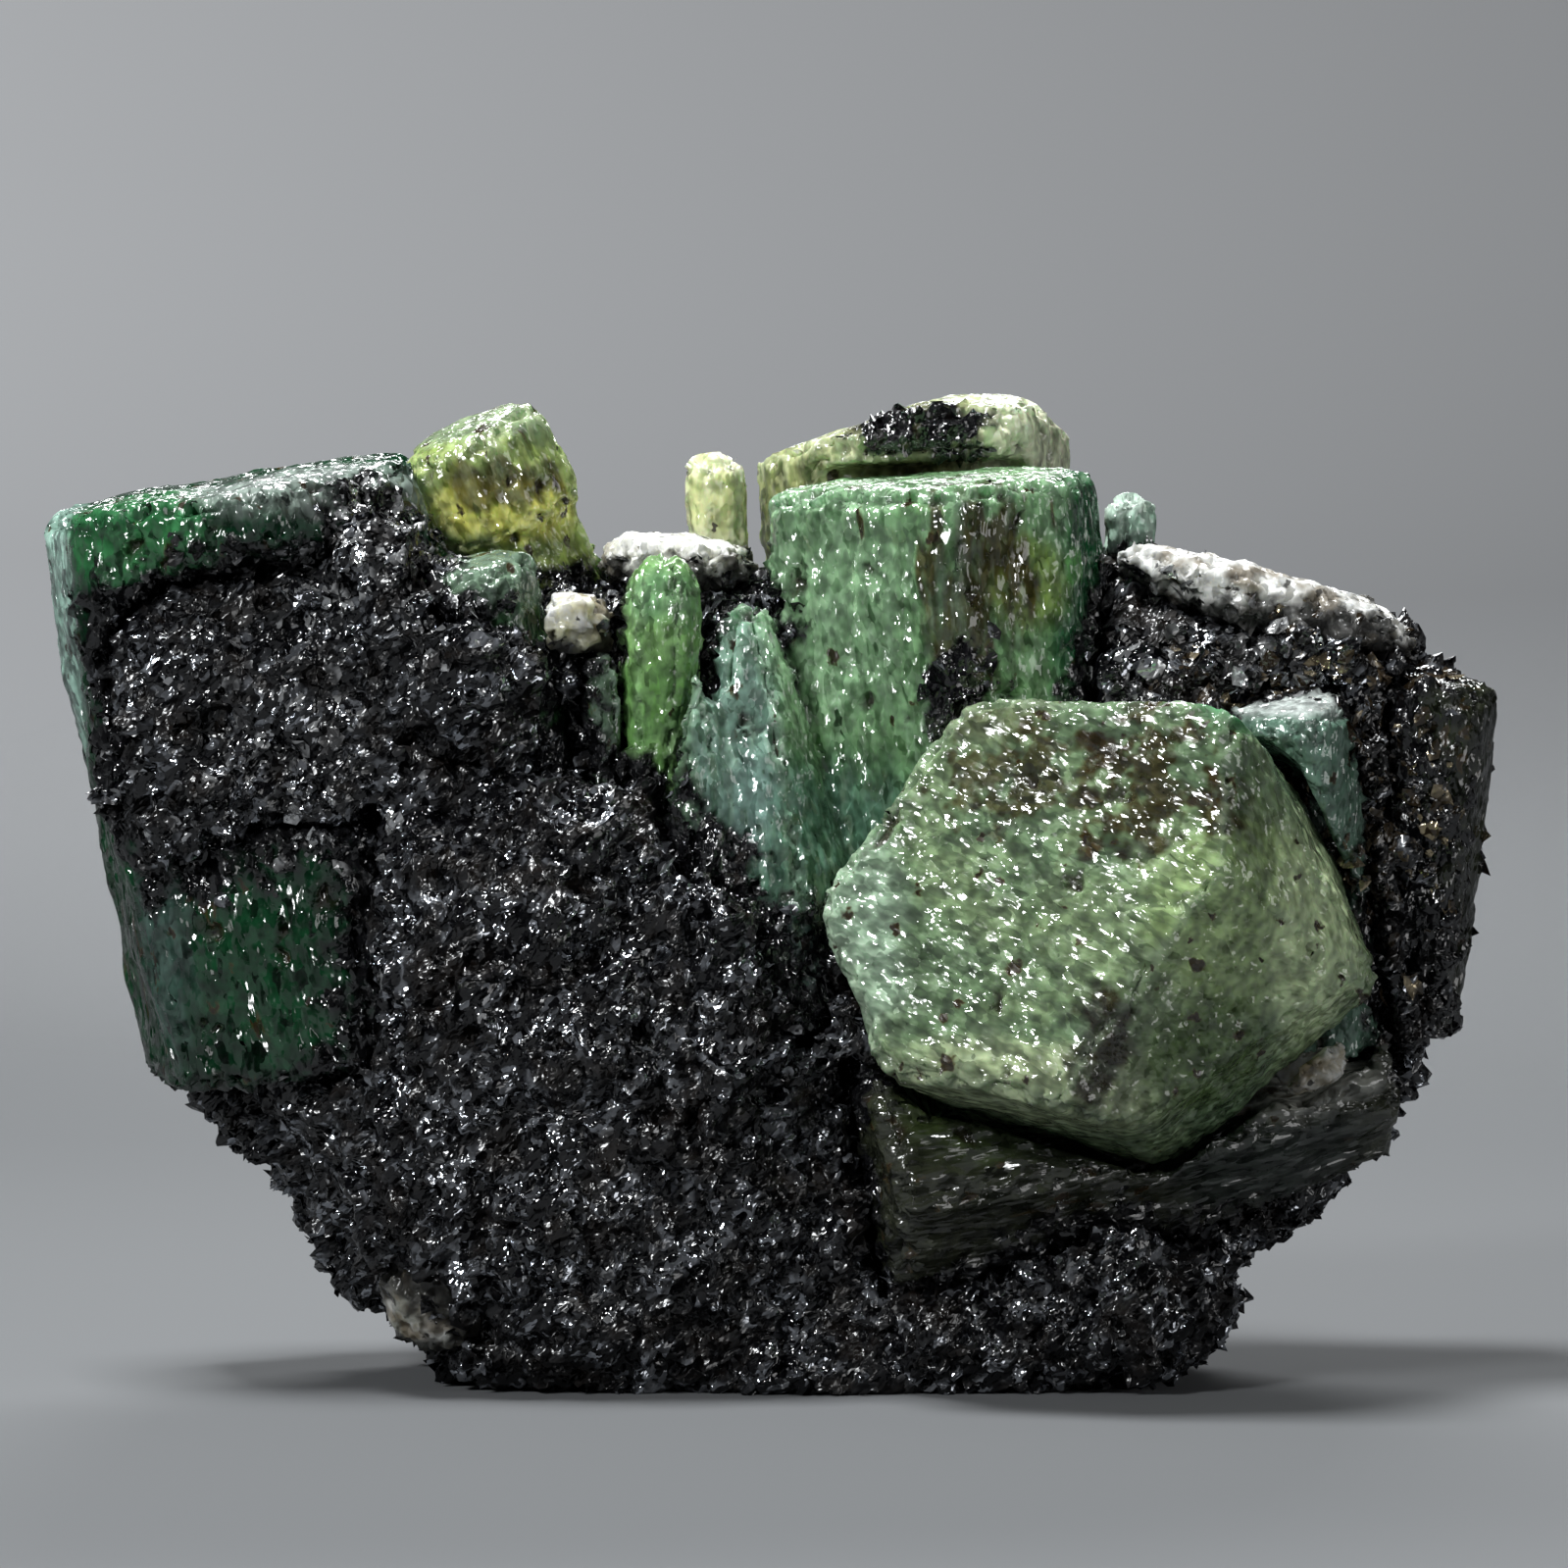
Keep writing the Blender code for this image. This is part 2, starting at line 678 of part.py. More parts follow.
def make_room(piece: bpy.types.Object, earlier: Sequence[str]) -> None:
    """Cut every earlier piece out of a piece, with some clearance round it."""
    for name in earlier:
        for shape in shapes_of(name, CLEARANCE):
            if boxes_meet(piece, shape):
                boolean(piece, shape, "DIFFERENCE")
            else:
                bpy.data.objects.remove(shape, do_unlink=True)
    keep_main_body(piece)
    thin_out(piece, KEPT_TRIANGLES)


def paint(item: bpy.types.Object, finish: Finish) -> None:
    """Give an object its one plain material."""
    material = bpy.data.materials.new(finish.name)
    material.use_nodes = True
    shader = material.node_tree.nodes["Principled BSDF"]
    shader.inputs["Base Color"].default_value = (*finish.colour, 1.0)
    shader.inputs["Roughness"].default_value = finish.roughness
    shader.inputs["Metallic"].default_value = 0.0
    item.data.materials.clear()
    item.data.materials.append(material)


def main() -> None:
    """Build the specimen."""
    clear_scene()
    for place, name in enumerate(PIECE_ORDER):
        piece = build_piece(name)
        make_room(piece, PIECE_ORDER[:place])
        paint(piece, FINISHES[name])


main()
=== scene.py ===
"""Emerald crystals in black mica: the dressed model of one hand-sized specimen."""

import logging
import math
from dataclasses import dataclass, replace
from enum import Enum
from typing import ClassVar

import bmesh
import bpy
from bpy.types import Material, Mesh, Node, NodeInputs, NodeOutputs, NodeTree, Object
from bpy.types import NodeSocket as Socket
from mathutils import Vector
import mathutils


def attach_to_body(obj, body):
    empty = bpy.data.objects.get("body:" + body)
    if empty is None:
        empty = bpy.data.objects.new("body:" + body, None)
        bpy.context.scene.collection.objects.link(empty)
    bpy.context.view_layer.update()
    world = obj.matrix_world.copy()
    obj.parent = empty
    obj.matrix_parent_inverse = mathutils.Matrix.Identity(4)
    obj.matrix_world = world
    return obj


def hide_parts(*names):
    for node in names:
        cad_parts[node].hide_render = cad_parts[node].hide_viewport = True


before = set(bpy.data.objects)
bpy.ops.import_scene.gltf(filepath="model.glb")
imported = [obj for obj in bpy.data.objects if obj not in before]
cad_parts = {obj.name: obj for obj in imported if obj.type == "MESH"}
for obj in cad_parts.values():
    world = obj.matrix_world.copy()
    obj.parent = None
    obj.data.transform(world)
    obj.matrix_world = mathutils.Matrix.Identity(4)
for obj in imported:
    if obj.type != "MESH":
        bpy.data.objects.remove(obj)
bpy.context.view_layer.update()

LOG = logging.getLogger("emerald_in_matrix")

MM = 0.001
PER_METRE = 1000.0
BODY = "root"

Pair = tuple[float, float]
Triple = tuple[float, float, float]
Feed = Socket | float | int | Triple | str | bool | None

UP: Triple = (0.0, 0.0, 1.0)
MIDDLE: Triple = (0.5, 0.5, 0.5)
HOLLOW = "hollow"  # attribute: how deep a point lies in a pit
EDGE = "edge"  # attribute: how much a point lies on a ridge
COVER = "cover"  # attribute: how much mica has grown over a point
GAP = "gap"  # attribute: distance in mm to the mica, or on the mica to the crystals
LIE = "lie"  # attribute: the way that the surface under a flake faces
SHADE = "shade"  # attribute: one random number for each flake


class SocketKind(Enum):
    """What a socket of a shared tree carries."""

    NUMBER = "NodeSocketFloat"
    WHOLE = "NodeSocketInt"
    VECTOR = "NodeSocketVector"
    SHAPE = "NodeSocketGeometry"
    FINISH = "NodeSocketMaterial"
    THING = "NodeSocketObject"


class TreeKind(Enum):
    """Which editor a tree belongs to."""

    SHADER = "ShaderNodeTree"
    GEOMETRY = "GeometryNodeTree"


class Bench:
    """Sets out and wires the nodes of one tree."""

    def __init__(self, tree: NodeTree) -> None:
        """Work on a tree."""
        self.tree = tree

    def add(self, kind: str, **settings: object) -> Node:
        """Add a node.

        Args:
            kind: Blender's name of the node type.
            settings: Properties of the node.

        Returns:
            The new node.
        """
        node = self.tree.nodes.new(kind)
        for name, value in settings.items():
            setattr(node, name, value)
        return node

    def feed(self, socket: Socket, value: Feed) -> None:
        """Wire a socket to another one, or set its own value."""
        if isinstance(value, Socket):
            self.tree.links.new(value, socket)
        elif value is not None:
            socket.default_value = value

    def place(self, kind: str, inputs: dict[str, Feed], **settings: object) -> Node:
        """Add a node and feed its inputs by their names.

        Args:
            kind: Blender's name of the node type.
            inputs: Value or socket for each input.
            settings: Properties of the node.

        Returns:
            The new node.
        """
        return self.fill(self.add(kind, **settings), inputs)

    def fill(self, node: Node, inputs: dict[str, Feed]) -> Node:
        """Feed a node's inputs by their names, and return the node."""
        for name, value in inputs.items():
            self.feed(node.inputs[name], value)
        return node

    def group(self, tree: NodeTree, inputs: dict[str, Feed]) -> Node:
        """Place a shared shader tree and feed its inputs."""
        return self.place("ShaderNodeGroup", inputs, node_tree=tree)

    def math(self, operation: str, *values: Feed) -> Socket:
        """Return the result of a sum on numbers."""
        node = self.add("ShaderNodeMath", operation=operation)
        for socket, value in zip(node.inputs, values):
            self.feed(socket, value)
        return node.outputs[0]

    def times(self, first: Feed, second: Feed) -> Socket:
        """Return one number times another."""
        return self.math("MULTIPLY", first, second)

    def vector(self, operation: str, *values: Feed) -> Socket:
        """Return the result of a sum on vectors."""
        node = self.add("ShaderNodeVectorMath", operation=operation)
        for socket, value in zip(node.inputs, values):
            self.feed(socket, value)
        is_number = operation in {"DOT_PRODUCT", "LENGTH", "DISTANCE"}
        return node.outputs["Value" if is_number else "Vector"]

    def scaled(self, vector: Feed, number: Feed) -> Socket:
        """Return a vector times a number."""
        node = self.add("ShaderNodeVectorMath", operation="SCALE")
        self.feed(node.inputs[0], vector)
        self.feed(node.inputs["Scale"], number)
        return node.outputs["Vector"]

    def swing(self, drawn: Feed, reach: Feed) -> Socket:
        """Return a random colour as a vector that points to any side."""
        return self.scaled(self.vector("SUBTRACT", drawn, MIDDLE), reach)

    def blend(self, share: Feed, first: Feed, second: Feed, mode: str = "MIX") -> Socket:
        """Return a mix of two colours."""
        node = self.add("ShaderNodeMix", data_type="RGBA", blend_type=mode)
        self.feed(node.inputs[0], share)
        self.feed(node.inputs[6], opaque(first))
        self.feed(node.inputs[7], opaque(second))
        return node.outputs[2]

    def between(self, share: Feed, low: Feed, high: Feed) -> Socket:
        """Return a mix of two numbers."""
        node = self.add("ShaderNodeMix", data_type="FLOAT")
        self.feed(node.inputs[0], share)
        self.feed(node.inputs[2], low)
        self.feed(node.inputs[3], high)
        return node.outputs[0]

    def step(self, value: Feed, low: Feed, high: Feed) -> Socket:
        """Return 0 to 1 as a value goes softly from low to high."""
        node = self.add("ShaderNodeMapRange", interpolation_type="SMOOTHSTEP")
        for socket, number in zip(node.inputs, (value, low, high, 0.0, 1.0)):
            self.feed(socket, number)
        return node.outputs[0]

    def noise(self, place: Feed, scale: Feed, detail: float = 2.0, rough: float = 0.5) -> Node:
        """Return a cloud texture node."""
        inputs = {"Vector": place, "Scale": scale, "Detail": detail, "Roughness": rough}
        return self.place("ShaderNodeTexNoise", inputs)

    def cells(self, place: Feed) -> Node:
        """Return a texture node of random cells, each about one unit wide."""
        return self.place("ShaderNodeTexVoronoi", {"Vector": place, "Scale": 1.0})

    def bent_cells(
        self, local: Feed, scale: float, reach: float, detail: float = 2.0
    ) -> tuple[Node, Socket]:
        """Return a node of cells whose borders a noise bends, and the value of the noise."""
        noise = self.noise(local, scale, detail)
        shift = self.swing(noise.outputs[1], reach)
        return self.cells(self.vector("ADD", local, shift)), noise.outputs[0]

    def spots(
        self, local: Feed, bend: Pair, share: Feed, radius: Pair, core: float
    ) -> Socket:
        """Return the mask of ragged spots.

        Args:
            local: Place in units of the distance between spots.
            bend: Scale and reach of the noise that makes the spots ragged.
            share: Share of the spots that are there.
            radius: Range of the radius and its least value.
            core: Radius of the full core over that of the spot.
        """
        cell, _ = self.bent_cells(local, *bend)
        picked, drawn, _ = self.split(cell.outputs["Color"])
        reach = self.math("MULTIPLY_ADD", drawn, *radius)
        spot = self.step(cell.outputs["Distance"], reach, self.times(reach, core))
        return self.times(spot, self.math("LESS_THAN", picked, share))

    def shrunk(self, place: Feed, size: Feed) -> Socket:
        """Return a place in units of a size."""
        return self.scaled(place, self.math("DIVIDE", 1.0, size))

    def painted(self, name: str) -> Socket:
        """Return a number that a shader reads from the surface."""
        return self.place("ShaderNodeAttribute", {}, attribute_name=name).outputs["Fac"]

    def keep(self, shape: Socket, name: str, value: Feed) -> Socket:
        """Return a shape that keeps a number at each of its points."""
        inputs = {"Geometry": shape, "Name": name, "Value": value}
        node = self.place("GeometryNodeStoreNamedAttribute", inputs, data_type="FLOAT", domain="POINT")
        return node.outputs[0]

    def kept(self, name: str, kind: str = "FLOAT") -> Socket:
        """Return what the points keep under a name."""
        return self.place("GeometryNodeInputNamedAttribute", {"Name": name}, data_type=kind).outputs[0]

    def spot(self) -> Socket:
        """Return the place of a point in mm."""
        return self.scaled(self.add("GeometryNodeInputPosition").outputs[0], PER_METRE)

    def split(self, vector: Feed) -> tuple[Socket, Socket, Socket]:
        """Return the three numbers of a vector."""
        return tuple(self.place("ShaderNodeSeparateXYZ", {"Vector": vector}).outputs)

    def joined(self, x: Feed, y: Feed, z: Feed) -> Socket:
        """Return the vector of three numbers."""
        return self.place("ShaderNodeCombineXYZ", {"X": x, "Y": y, "Z": z}).outputs[0]

    def moved(self, shape: Socket, **inputs: Feed) -> Socket:
        """Return a shape with its points moved."""
        return self.place("GeometryNodeSetPosition", {"Geometry": shape, **inputs}).outputs[0]

    def finished(self, shape: Socket, material: Socket) -> Socket:
        """Return a shape as real faces in its material."""
        real = self.place("GeometryNodeRealizeInstances", {"Geometry": shape}).outputs[0]
        inputs = {"Geometry": real, "Material": material}
        return self.place("GeometryNodeSetMaterial", inputs).outputs[0]

    def way_to(self, thing: Socket, target: str) -> Socket:
        """Return the distance in mm to another object's faces or points."""
        other = self.place("GeometryNodeObjectInfo", {"Object": thing})
        near = self.place("GeometryNodeProximity", {0: other.outputs["Geometry"]}, target_element=target)
        return self.times(near.outputs["Distance"], PER_METRE)

    def stretched(self, place: Socket, along: Feed, stretch: Feed) -> Socket:
        """Return a place in which patterns run out along a direction.

        Args:
            place: Place in mm.
            along: Unit direction of growth.
            stretch: How many times longer than wide the patterns become.
        """
        height = self.vector("DOT_PRODUCT", place, along)
        kept = self.math("SUBTRACT", 1.0, self.math("DIVIDE", 1.0, stretch))
        return self.vector("SUBTRACT", place, self.scaled(along, self.times(height, kept)))


def opaque(colour: Feed) -> Feed:
    """Return a colour with its fourth number, or a socket as it is."""
    return (*colour, 1.0) if isinstance(colour, tuple) and len(colour) == 3 else colour


def numbers(*names: str) -> dict[str, SocketKind]:
    """Return the sockets of numbers with some names."""
    return {name: SocketKind.NUMBER for name in names}


def as_inputs(settings: object) -> dict[str, object]:
    """Return the fields of a dataclass under the names that a tree's inputs have."""
    return {name.replace("_", " ").title(): value for name, value in vars(settings).items()}


def open_tree(
    kind: TreeKind, name: str, takes: dict[str, SocketKind], gives: dict[str, SocketKind]
) -> tuple[Bench, NodeOutputs, NodeInputs]:
    """Start a shared tree.

    Args:
        kind: Shader or geometry tree.
        name: Name of the tree.
        takes: Named inputs.
        gives: Named outputs.

    Returns:
        The bench on the tree, the sockets that bring its inputs, and those that take its outputs.
    """
    tree = bpy.data.node_groups.new(name, kind.value)
    for label, carried in takes.items():
        tree.interface.new_socket(name=label, in_out="INPUT", socket_type=carried.value)
    for label, carried in gives.items():
        tree.interface.new_socket(name=label, in_out="OUTPUT", socket_type=carried.value)
    bench = Bench(tree)
    source, sink = bench.add("NodeGroupInput"), bench.add("NodeGroupOutput")
    return bench, source.outputs, sink.inputs


class Effects:
    """Shader effects that several finishes share, each built once."""

    GROWN = {"Place": SocketKind.VECTOR, "Along": SocketKind.VECTOR}

    def __init__(self) -> None:
        """Build every shared tree."""
        self.cloud = self.make_cloud()
        self.flecks = self.make_flecks()
        self.zone = self.make_zone()
        self.facets = self.make_facets()

    @staticmethod
    def make_cloud() -> NodeTree:
        """Return the milky clouding of a crystal: a soft mask."""
        takes = {"Place": SocketKind.VECTOR, **numbers("Size", "Low", "High")}
        bench, take, give = open_tree(TreeKind.SHADER, "Milky cloud", takes, numbers("Mask"))
        scale = bench.math("DIVIDE", 1.0, take["Size"])
        cloud = bench.noise(take["Place"], scale, 3.0, 0.55)
        bench.feed(give["Mask"], bench.step(cloud.outputs[0], take["Low"], take["High"]))
        return bench.tree

    @staticmethod
    def make_flecks() -> NodeTree:
        """Return specks or streaks of enclosed mica, drawn out along the growth direction."""
        takes = {**Effects.GROWN, **numbers("Stretch", "Size", "Share")}
        bench, take, give = open_tree(TreeKind.SHADER, "Enclosed flecks", takes, numbers("Mask"))
        place = bench.stretched(take["Place"], take["Along"], take["Stretch"])
        local = bench.shrunk(place, take["Size"])
        mask = bench.spots(local, (2.3, 0.9), take["Share"], radius=(0.24, 0.16), core=0.55)
        bench.feed(give["Mask"], mask)
        return bench.tree

    @staticmethod
    def make_zone() -> NodeTree:
        """Return a soft mask round a place, torn by a noise that all zones share."""
        takes = dict.fromkeys(("Place", "Centre", "Reach"), SocketKind.VECTOR)
        takes |= numbers("Ragged", "Torn")
        bench, take, give = open_tree(TreeKind.SHADER, "Ragged zone", takes, numbers("Mask"))
        offset = bench.vector("SUBTRACT", take["Place"], take["Centre"])
        away = bench.vector("DIVIDE", offset, take["Reach"])
        edge = bench.times(take["Torn"], take["Ragged"])
        distance = bench.math("ADD", bench.vector("LENGTH", away), edge)
        bench.feed(give["Mask"], bench.step(distance, 1.15, 0.6))
        return bench.tree

    @staticmethod
    def make_facets() -> NodeTree:
        """Return facets that lean at random: their normals, a random shade and a soft height in mm."""
        takes = {**Effects.GROWN, "Normal": SocketKind.VECTOR, **numbers("Stretch", "Size", "Tilt")}
        gives = {"Normal": SocketKind.VECTOR, **numbers("Shade", "Height")}
        bench, take, give = open_tree(TreeKind.SHADER, "Glinting facets", takes, gives)
        place = bench.stretched(take["Place"], take["Along"], take["Stretch"])
        local = bench.shrunk(place, take["Size"])
        cell, swell = bench.bent_cells(local, 0.9, 1.6, detail=1.0)
        lean = bench.swing(cell.outputs["Color"], take["Tilt"])
        bench.feed(give["Normal"], bench.vector("NORMALIZE", bench.vector("ADD", take["Normal"], lean)))
        bench.feed(give["Shade"], bench.split(cell.outputs["Color"])[2])
        bench.feed(give["Height"], bench.times(swell, take["Size"]))
        return bench.tree


def cover_with_facets(
    bench: Bench,
    effects: Effects,
    surface: Node,
    inputs: dict[str, Feed],
    bump: Pair,
) -> Node:
    """Cover a material's surface with small glinting facets.

    Args:
        bench: Bench on the material's tree.
        effects: The shared effects.
        surface: The material's Principled BSDF.
        inputs: What the facets take, apart from the surface's normal.
        bump: Strength, and height in mm, of the swell between the facets.

    Returns:
        The node of the facets.
    """
    normal = bench.add("ShaderNodeNewGeometry").outputs["Normal"]
    facets = bench.group(effects.facets, {**inputs, "Normal": normal})
    strength, height = bump
    swell = bench.place("ShaderNodeBump", {
        "Strength": strength, "Distance": height * MM,
        "Height": facets.outputs["Height"], "Normal": facets.outputs["Normal"],
    })
    bench.feed(surface.inputs["Normal"], swell.outputs[0])
    return facets


@dataclass(frozen=True)
class Zone:
    """A patch of another colour in a crystal.

    Attributes:
        centre: Middle of the patch in mm.
        reach: Half sizes of the patch in mm.
        colour: Colour of the patch.
        share: Strength of the patch.
        ragged: How torn its edge is.
    """

    centre: Triple
    reach: Triple
    colour: Triple
    share: float = 0.8
    ragged: float = 0.7


@dataclass(frozen=True)
class Beryl:
    """Finish of a beryl crystal.

    Attributes:
        name: Name of the material.
        body: Main colour.
        cloud: Colour of the clouding inside.
        pale: Colour of milky fibres, and of the edges, which is partly real wear and partly a painted
            highlight.
        along: Unit direction of growth.
        streaks: Share of the streaks of enclosed mica.
        specks: Share of the small dark specks.
        zones: Patches of other colours, the first one lowest.
        facet: Width of the small glinting facets in mm.
        facet_along: Direction in which the facets run, if not along the growth.
        facet_stretch: Length of a facet over its width.
        facet_tilt: How far the facets lean.
        glow: Weight of the light that spreads inside.
    """

    name: str
    body: Triple
    cloud: Triple
    pale: Triple = (0.3, 0.42, 0.32)
    along: Triple = UP
    streaks: float = 0.25
    specks: float = 0.2
    zones: tuple[Zone, ...] = ()
    facet: float = 0.3
    facet_along: Triple | None = None
    facet_stretch: float = 1.8
    facet_tilt: float = 0.95
    glow: float = 0.0

    DIRT: ClassVar[Triple] = (0.022, 0.013, 0.005)
    RUST: ClassVar[Triple] = (0.12, 0.075, 0.015)
    MICA: ClassVar[Triple] = (0.007, 0.007, 0.008)
    CLOUD: ClassVar[dict[str, float]] = {"Size": 4.2, "Low": 0.42, "High": 0.6}
    FIBRE: ClassVar[dict[str, float]] = {"Size": 0.55, "Low": 0.5, "High": 0.72}
    STREAK: ClassVar[dict[str, float]] = {"Stretch": 6.0, "Size": 1.3}
    SPECK: ClassVar[dict[str, float]] = {"Stretch": 1.5, "Size": 0.8}
    FIBRE_STRETCH: ClassVar[float] = 5.0
    ZONE_STRETCH: ClassVar[float] = 4.0
    FIBRE_SHARE: ClassVar[float] = 0.3
    EDGE_SHARE: ClassVar[float] = 0.35
    RUST_SHARE: ClassVar[float] = 0.8
    DIRT_SHARE: ClassVar[float] = 0.9
    SHADES: ClassVar[Pair] = (0.55, 1.45)
    WET_PATCHES: ClassVar[Pair] = (0.4, 0.62)
    DRY_AND_WET: ClassVar[Pair] = (0.22, 0.07)
    TILTS: ClassVar[Pair] = (1.25, 0.75)
    DIRT_ROUGHNESS: ClassVar[float] = 0.12
    MICA_TILT: ClassVar[float] = 0.4
    BUMP: ClassVar[Pair] = (0.8, 0.55)
    GLOSS: ClassVar[dict[str, float]] = {"IOR": 1.58, "Specular IOR Level": 0.95}
    GLOW: ClassVar[dict[str, Feed]] = {"Subsurface Radius": (0.6, 1.0, 0.7), "Subsurface Scale": 1.2 * MM}

    def colour(self, bench: Bench, effects: Effects, place: Socket, torn: Socket) -> tuple[Socket, Socket]:
        """Lay the colours over each other.

        Args:
            bench: Bench on the material's tree.
            effects: The shared effects.
            place: Place in mm.
            torn: Noise between -0.5 and 0.5 that tears the zones' edges.

        Returns:
            The colour, and the mask of the dark enclosed mica.
        """
        cloud = bench.group(effects.cloud, {"Place": place, **self.CLOUD})
        colour = bench.blend(cloud.outputs[0], self.body, self.cloud)
        for zone in self.zones:
            inputs = {"Place": place, "Torn": torn}
            inputs |= {"Centre": zone.centre, "Reach": zone.reach, "Ragged": zone.ragged}
            mask = bench.group(effects.zone, inputs)
            colour = bench.blend(bench.times(mask.outputs[0], zone.share), colour, zone.colour)
        fibres = bench.stretched(place, self.along, self.FIBRE_STRETCH)
        fibre = bench.group(effects.cloud, {"Place": fibres, **self.FIBRE})
        colour = bench.blend(bench.times(fibre.outputs[0], self.FIBRE_SHARE), colour, self.pale)
        mottle = bench.noise(place, 1.5, 1.0, 0.7)
        shade = bench.step(mottle.outputs[0], 0.25, 0.75)
        shade = bench.between(shade, *self.SHADES)
        colour = bench.blend(1.0, colour, bench.joined(shade, shade, shade), "MULTIPLY")
        # Pale edges: partly real wear, partly a painted highlight along the rims.
        colour = bench.blend(bench.times(bench.painted(EDGE), self.EDGE_SHARE), colour, self.pale)
        masks = []
        for form, share in ((self.STREAK, self.streaks), (self.SPECK, self.specks)):
            inputs = {"Place": place, "Along": self.along, "Share": share, **form}
            masks.append(bench.group(effects.flecks, inputs).outputs[0])
        rust = bench.math("MAXIMUM", *masks)
        colour = bench.blend(bench.times(rust, self.RUST_SHARE), colour, self.RUST)
        dark = bench.math("MAXIMUM", bench.painted(HOLLOW), bench.times(rust, rust))
        colour = bench.blend(bench.times(dark, self.DIRT_SHARE), colour, self.DIRT)
        return bench.blend(bench.painted(COVER), colour, self.MICA), dark

    def make(self, effects: Effects) -> Material:
        """Return the material."""
        material, bench, surface = open_material(self.name)
        place = place_in_mm(bench)
        patches = bench.noise(place, 0.6, 2.0, 0.6).outputs[0]
        drawn_out = bench.stretched(place, self.along, self.ZONE_STRETCH)
        torn = bench.math("SUBTRACT", bench.noise(drawn_out, 0.7, 2.0, 0.65).outputs[0], 0.5)
        colour, dark = self.colour(bench, effects, place, torn)
        wet = bench.step(patches, *self.WET_PATCHES)
        rough = bench.between(wet, *self.DRY_AND_WET)
        rough = bench.math("MULTIPLY_ADD", dark, self.DIRT_ROUGHNESS, rough)
        tilt = bench.between(wet, *(self.facet_tilt * share for share in self.TILTS))
        inputs = {
            "Place": place,
            "Along": self.facet_along or self.along,
            "Stretch": self.facet_stretch,
            "Size": self.facet,
            "Tilt": bench.math("MULTIPLY_ADD", bench.painted(COVER), self.MICA_TILT, tilt),
        }
        cover_with_facets(bench, effects, surface, inputs, self.BUMP)
        bench.fill(surface, {"Base Color": colour, "Roughness": rough, **self.GLOSS})
        if self.glow:
            bench.fill(surface, {"Subsurface Weight": self.glow, **self.GLOW})
        return material


def open_material(name: str) -> tuple[Material, Bench, Node]:
    """Return a new material, the bench on its tree and its Principled BSDF."""
    material = bpy.data.materials.new(name)
    material.use_nodes = True
    bench = Bench(material.node_tree)
    bench.tree.nodes.clear()
    surface = bench.add("ShaderNodeBsdfPrincipled")
    out = bench.add("ShaderNodeOutputMaterial")
    bench.feed(out.inputs["Surface"], surface.outputs[0])
    return material, bench, surface


def place_in_mm(bench: Bench) -> Socket:
    """Return the place on the object in mm."""
    place = bench.add("ShaderNodeTexCoord").outputs["Object"]
    return bench.scaled(place, PER_METRE)


@dataclass(frozen=True)
class Mica:
    """Finish of the mica.

    Attributes:
        name: Name of the material.
        dark: Colour of the dark plates.
        light: Colour of the light plates.
        light_share: Share of the light plates.
        metal: How metallic the light plates look.
        plate: Size of the cleavage plates in mm.
        tilt: How far the plates lean.
        own_shade: Whether each flake has its own shade.
    """

    name: str
    dark: Triple = (0.003, 0.003, 0.004)
    light: Triple = (0.42, 0.44, 0.48)
    light_share: float = 0.4
    metal: float = 0.95
    plate: float = 0.32
    tilt: float = 1.3
    own_shade: bool = False

    RUST: ClassVar[Triple] = (0.03, 0.018, 0.008)
    LEAVES: ClassVar[Triple] = (0.72, 0.2, 0.66)
    STAIN_SHARE: ClassVar[float] = 0.25
    OUTSIDE_CLUSTERS: ClassVar[float] = 0.04
    DULL_AND_FRESH: ClassVar[Pair] = (0.25, 0.08)
    TILTS: ClassVar[Pair] = (1.3, 0.8)
    FRESH_PATCHES: ClassVar[Pair] = (0.45, 0.57)
    STAINED_PATCHES: ClassVar[Pair] = (0.5, 0.3)
    STRETCH: ClassVar[float] = 1.7
    OWN_SHADE_SHARE: ClassVar[float] = 0.75
    GLOSS: ClassVar[dict[str, float]] = {"IOR": 1.6, "Specular IOR Level": 0.75}
    BUMP: ClassVar[Pair] = (0.9, 0.6)

    def make(self, effects: Effects) -> Material:
        """Return the material."""
        material, bench, surface = open_material(self.name)
        place = place_in_mm(bench)
        patches = bench.noise(place, 0.5, 2.0, 0.65).outputs[0]
        fresh = bench.step(patches, *self.FRESH_PATCHES)
        inputs = {
            "Place": place,
            "Along": self.LEAVES,
            "Stretch": self.STRETCH,
            "Size": self.plate,
            "Tilt": bench.between(fresh, *(self.tilt * share for share in self.TILTS)),
        }
        facets = cover_with_facets(bench, effects, surface, inputs, self.BUMP)
        shade = facets.outputs["Shade"]
        if self.own_shade:
            shade = bench.between(self.OWN_SHADE_SHARE, shade, bench.painted(SHADE))
        light = bench.step(shade, 1.0 - self.light_share, 1.0 - 0.5 * self.light_share)
        light = bench.times(light, bench.between(fresh, self.OUTSIDE_CLUSTERS, 1.0))
        colour = bench.blend(light, self.dark, self.light)
        stain = bench.step(patches, *self.STAINED_PATCHES)
        colour = bench.blend(bench.times(stain, self.STAIN_SHARE), colour, self.RUST)
        rough = bench.between(fresh, *self.DULL_AND_FRESH)
        inputs = {"Base Color": colour, "Metallic": bench.times(light, self.metal), "Roughness": rough}
        bench.fill(surface, {**inputs, **self.GLOSS})
        return material


class StoneKind(Enum):
    """The pale minerals beside the beryl."""

    QUARTZ = "quartz"
    FELDSPAR = "feldspar"


